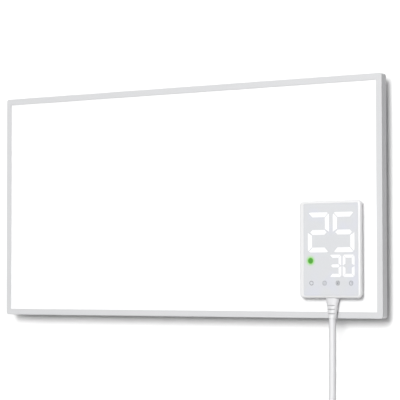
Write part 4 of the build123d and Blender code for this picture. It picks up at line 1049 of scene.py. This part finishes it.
@dataclass
class MainsLead:
    """The mains lead: its hanging stretch, its put-away coil with the tie, and its plug."""

    exit: Point = (0.2324, -0.0386, -0.1499)
    diameter: float = 0.009
    length: float = 1.8
    route: tuple[Point, ...] = (
        (0.0, 0.0, 0.0),
        (0.0, 0.0, -0.0595),
        (-0.0006, 0.0, -0.1195),
        (-0.0164, 0.0, -0.1464),
        (-0.0390, 0.0, -0.1603),
    )
    coil_drop: float = 0.2059
    coil_first_turn: float = 120.0
    coil_last_turn: float = 1980.0
    coil_step: float = 30.0
    ring_radii: tuple[float, ...] = (0.059, 0.050, 0.041, 0.041, 0.050, 0.059)
    slip_start: float = 0.72
    tail_drops: tuple[float, ...] = (0.014, 0.026, 0.038)
    plug_grip_drop: float = 0.032
    plug_grip_radius: float = 0.0145
    plug_grip_lean: float = -11.3

    def coil_points(self) -> list[Point]:
        """Work out the coil's turns: three rings inwards, then three outwards behind them.

        Each turn keeps its ring's radius until slip_start, a share of the turn, and then slips to the
        next ring.

        Returns:
            The spline's points through the coil, measured from the coil's middle.
        """
        points = []
        innermost, last = len(self.ring_radii) // 2 - 1, len(self.ring_radii) - 2
        swell = 1.0 / math.cos(math.radians(self.coil_step / 2))
        steps = int((self.coil_last_turn - self.coil_first_turn) / self.coil_step)
        for k in range(steps + 1):
            angle = self.coil_first_turn + k * self.coil_step
            turns = (angle - self.coil_first_turn) / 360.0
            ring = min(int(turns), last)
            slip = min(max((turns - ring - self.slip_start) / (1.0 - self.slip_start), 0.0), 1.0)
            share = slip * slip * (3.0 - 2.0 * slip)
            radius = swell * (self.ring_radii[ring] * (1.0 - share) + self.ring_radii[ring + 1] * share)
            layer = share if ring == innermost else float(ring > innermost)
            turn = math.radians(angle)
            points.append((radius * math.cos(turn), layer * self.diameter, radius * math.sin(turn)))
        return points

    def points(self) -> list[Vector]:
        """Put the whole lead's spline points together.

        Returns:
            The points in the heater's own frame.
        """
        start = Vector(self.exit)
        middle = start + Vector((0.0, 0.0, -self.coil_drop))
        line = [start + Vector(point) for point in self.route]
        line += [middle + Vector(point) for point in self.coil_points()]
        tail = middle + Vector((-self.ring_radii[-1], self.diameter, 0.0))
        line += [tail + Vector((0.0, 0.0, -drop)) for drop in self.tail_drops]
        return line

    def lay(self) -> bpy.types.Object:
        """Make the lead as one smooth open curve.

        Returns:
            The lead.
        """
        curve = bpy.data.curves.new("mains_lead", "CURVE")
        curve.dimensions = "3D"
        line = self.points()
        spline = curve.splines.new("NURBS")
        spline.points.add(len(line) - 1)
        for spot, point in zip(spline.points, line):
            spot.co = (*point, 1.0)
        spline.order_u = 3
        spline.use_endpoint_u = True
        spline.resolution_u = 8
        curve.bevel_depth = self.diameter / 2
        curve.bevel_resolution = 6
        curve.use_fill_caps = True
        lead = bpy.data.objects.new("mains_lead", curve)
        bpy.context.scene.collection.objects.link(lead)
        return lead

    def build(self, shop: PaintShop) -> None:
        """Lay the lead, rib its plug's grip and dress its pieces.

        Args:
            shop: where the finishes are.
        """
        lead = self.lay()
        shop.dress_piece(lead, "lead_plastic", "heater")
        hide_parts("mains_cord", "cord_coil", "cord_tail")
        low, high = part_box("plug_body")
        centre = ((low.x + high.x) / 2, (low.y + high.y) / 2, high.z - self.plug_grip_drop)
        lean = math.radians(self.plug_grip_lean)
        ring = RibRing("plug_grip_ribs", centre, radius=self.plug_grip_radius, lean=lean)
        ribs = ring.build(shop.materials["lead_plastic"])
        shop.dress_piece(ribs, "lead_plastic", "heater")
        shop.mix(replace(find_finish("relief_plastic"), end=self.exit))
        worn = {
            "plug_body": "lead_plastic",
            "plug_pins": "nickel_brass",
            "plug_earth_contacts": "nickel_brass",
            "cord_tie": "tie_strap",
            "strain_relief": "relief_plastic",
        }
        for name, finish in worn.items():
            shop.dress_node(name, finish)


# ---------------------------------------------------------------------------------------------
# Sub-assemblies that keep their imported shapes
# ---------------------------------------------------------------------------------------------


@dataclass
class Assembly:
    """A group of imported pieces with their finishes."""

    title: str
    finishes: dict[str, str] = field(default_factory=dict)

    def build(self, shop: PaintShop) -> None:
        """Dress every piece of the group.

        Args:
            shop: where the finishes are.
        """
        for name, finish in self.finishes.items():
            shop.dress_node(name, finish)
        log.info("%s dressed: %d pieces", self.title, len(self.finishes))


def wall_mount() -> Assembly:
    """Give the pieces that stay on the wall."""
    return Assembly("wall mount", {f"wall_bracket_{side}": "bracket_coat" for side in ("left", "right")})


def heating_panel() -> Assembly:
    """Give the framed panel, its sheets, hangers and rivets."""
    finishes = {f"frame_{side}": "frame_aluminium" for side in ("top", "bottom", "left", "right")}
    finishes |= {
        f"hanger_{row}_{side}": "galvanised_steel" for row in ("top", "bottom") for side in ("left", "right")
    }
    finishes |= {
        "corner_keys": "raw_aluminium",
        "front_plate": "front_enamel",
        "heating_board": "board_laminate",
        "heating_track": "carbon_track",
        "insulation_film": "amber_film",
        "insulation_pad": "mineral_felt",
        "reflector_foil": "bright_foil",
        "back_cover": "galvanised_steel",
        "blind_rivets": "raw_aluminium",
    }
    return Assembly("heating panel", finishes)


def junction_box() -> Assembly:
    """Give the junction box behind the panel and what it holds."""
    return Assembly(
        "junction box",
        {
            "junction_box": "box_plastic",
            "junction_lid": "box_plastic",
            "case_screws": "zinc_steel",
            "power_board": "circuit_green",
            "relay": "relay_plastic",
            "supply_module": "black_plastic",
            "fuse": "fuse_glass",
            "filter_capacitor": "capacitor_plastic",
            "mains_terminal": "terminal_plastic",
            "heater_terminal": "terminal_plastic",
            "thermal_cutout": "black_plastic",
            "earth_terminal": "zinc_steel",
            "feed_through": "unit_plastic",
            "lead_grommet": "black_rubber",
            "live_core": "brown_wire",
            "neutral_core": "blue_wire",
            "earth_core": "earth_wire",
            "heater_leads": "white_silicone",
            "control_lead": "white_silicone",
        },
    )


@dataclass
class ControlUnit(Assembly):
    """The control unit on the panel's front."""

    lamp_reach: float = 0.0085

    def build(self, shop: PaintShop) -> None:
        """Dress the unit, with the status lamp's light spread into the lens round it.

        Args:
            shop: where the finishes are.
        """
        low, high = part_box("status_window")
        lamp = tuple((low + high) / 2)
        shop.mix(replace(find_finish("display_tint"), lamp=lamp, lamp_reach=self.lamp_reach))
        super().build(shop)


def control_unit() -> ControlUnit:
    """Give the control unit's pieces."""
    return ControlUnit(
        "control unit",
        {
            "control_base": "unit_plastic",
            "base_nuts": "zinc_steel",
            "display_board": "circuit_green",
            "large_digit_module": "module_plastic",
            "small_digit_module": "module_plastic",
            "status_led": "green_light",
            "touch_pads": "touch_foam",
            "room_sensor": "sensor_epoxy",
            "control_cover": "unit_plastic",
            "display_lens": "display_tint",
            "lit_segments": "lit_white",
            "dark_segments": "display_tint",
            "status_window": "green_light",
            "touch_icons": "icon_ink",
        },
    )


# ---------------------------------------------------------------------------------------------
# Main
# ---------------------------------------------------------------------------------------------


def main() -> None:
    """Build the studio, the lead and the sub-assemblies in order."""
    logging.basicConfig(level=logging.INFO, format="%(name)s: %(message)s")
    studio = Studio()
    studio.place_camera()
    shop = PaintShop(FINISHES)
    MainsLead().build(shop)
    for assembly in (wall_mount(), heating_panel(), junction_box(), control_unit()):
        assembly.build(shop)
    studio.build_backdrop()
    studio.build_lights()


if __name__ == "__main__":
    main()
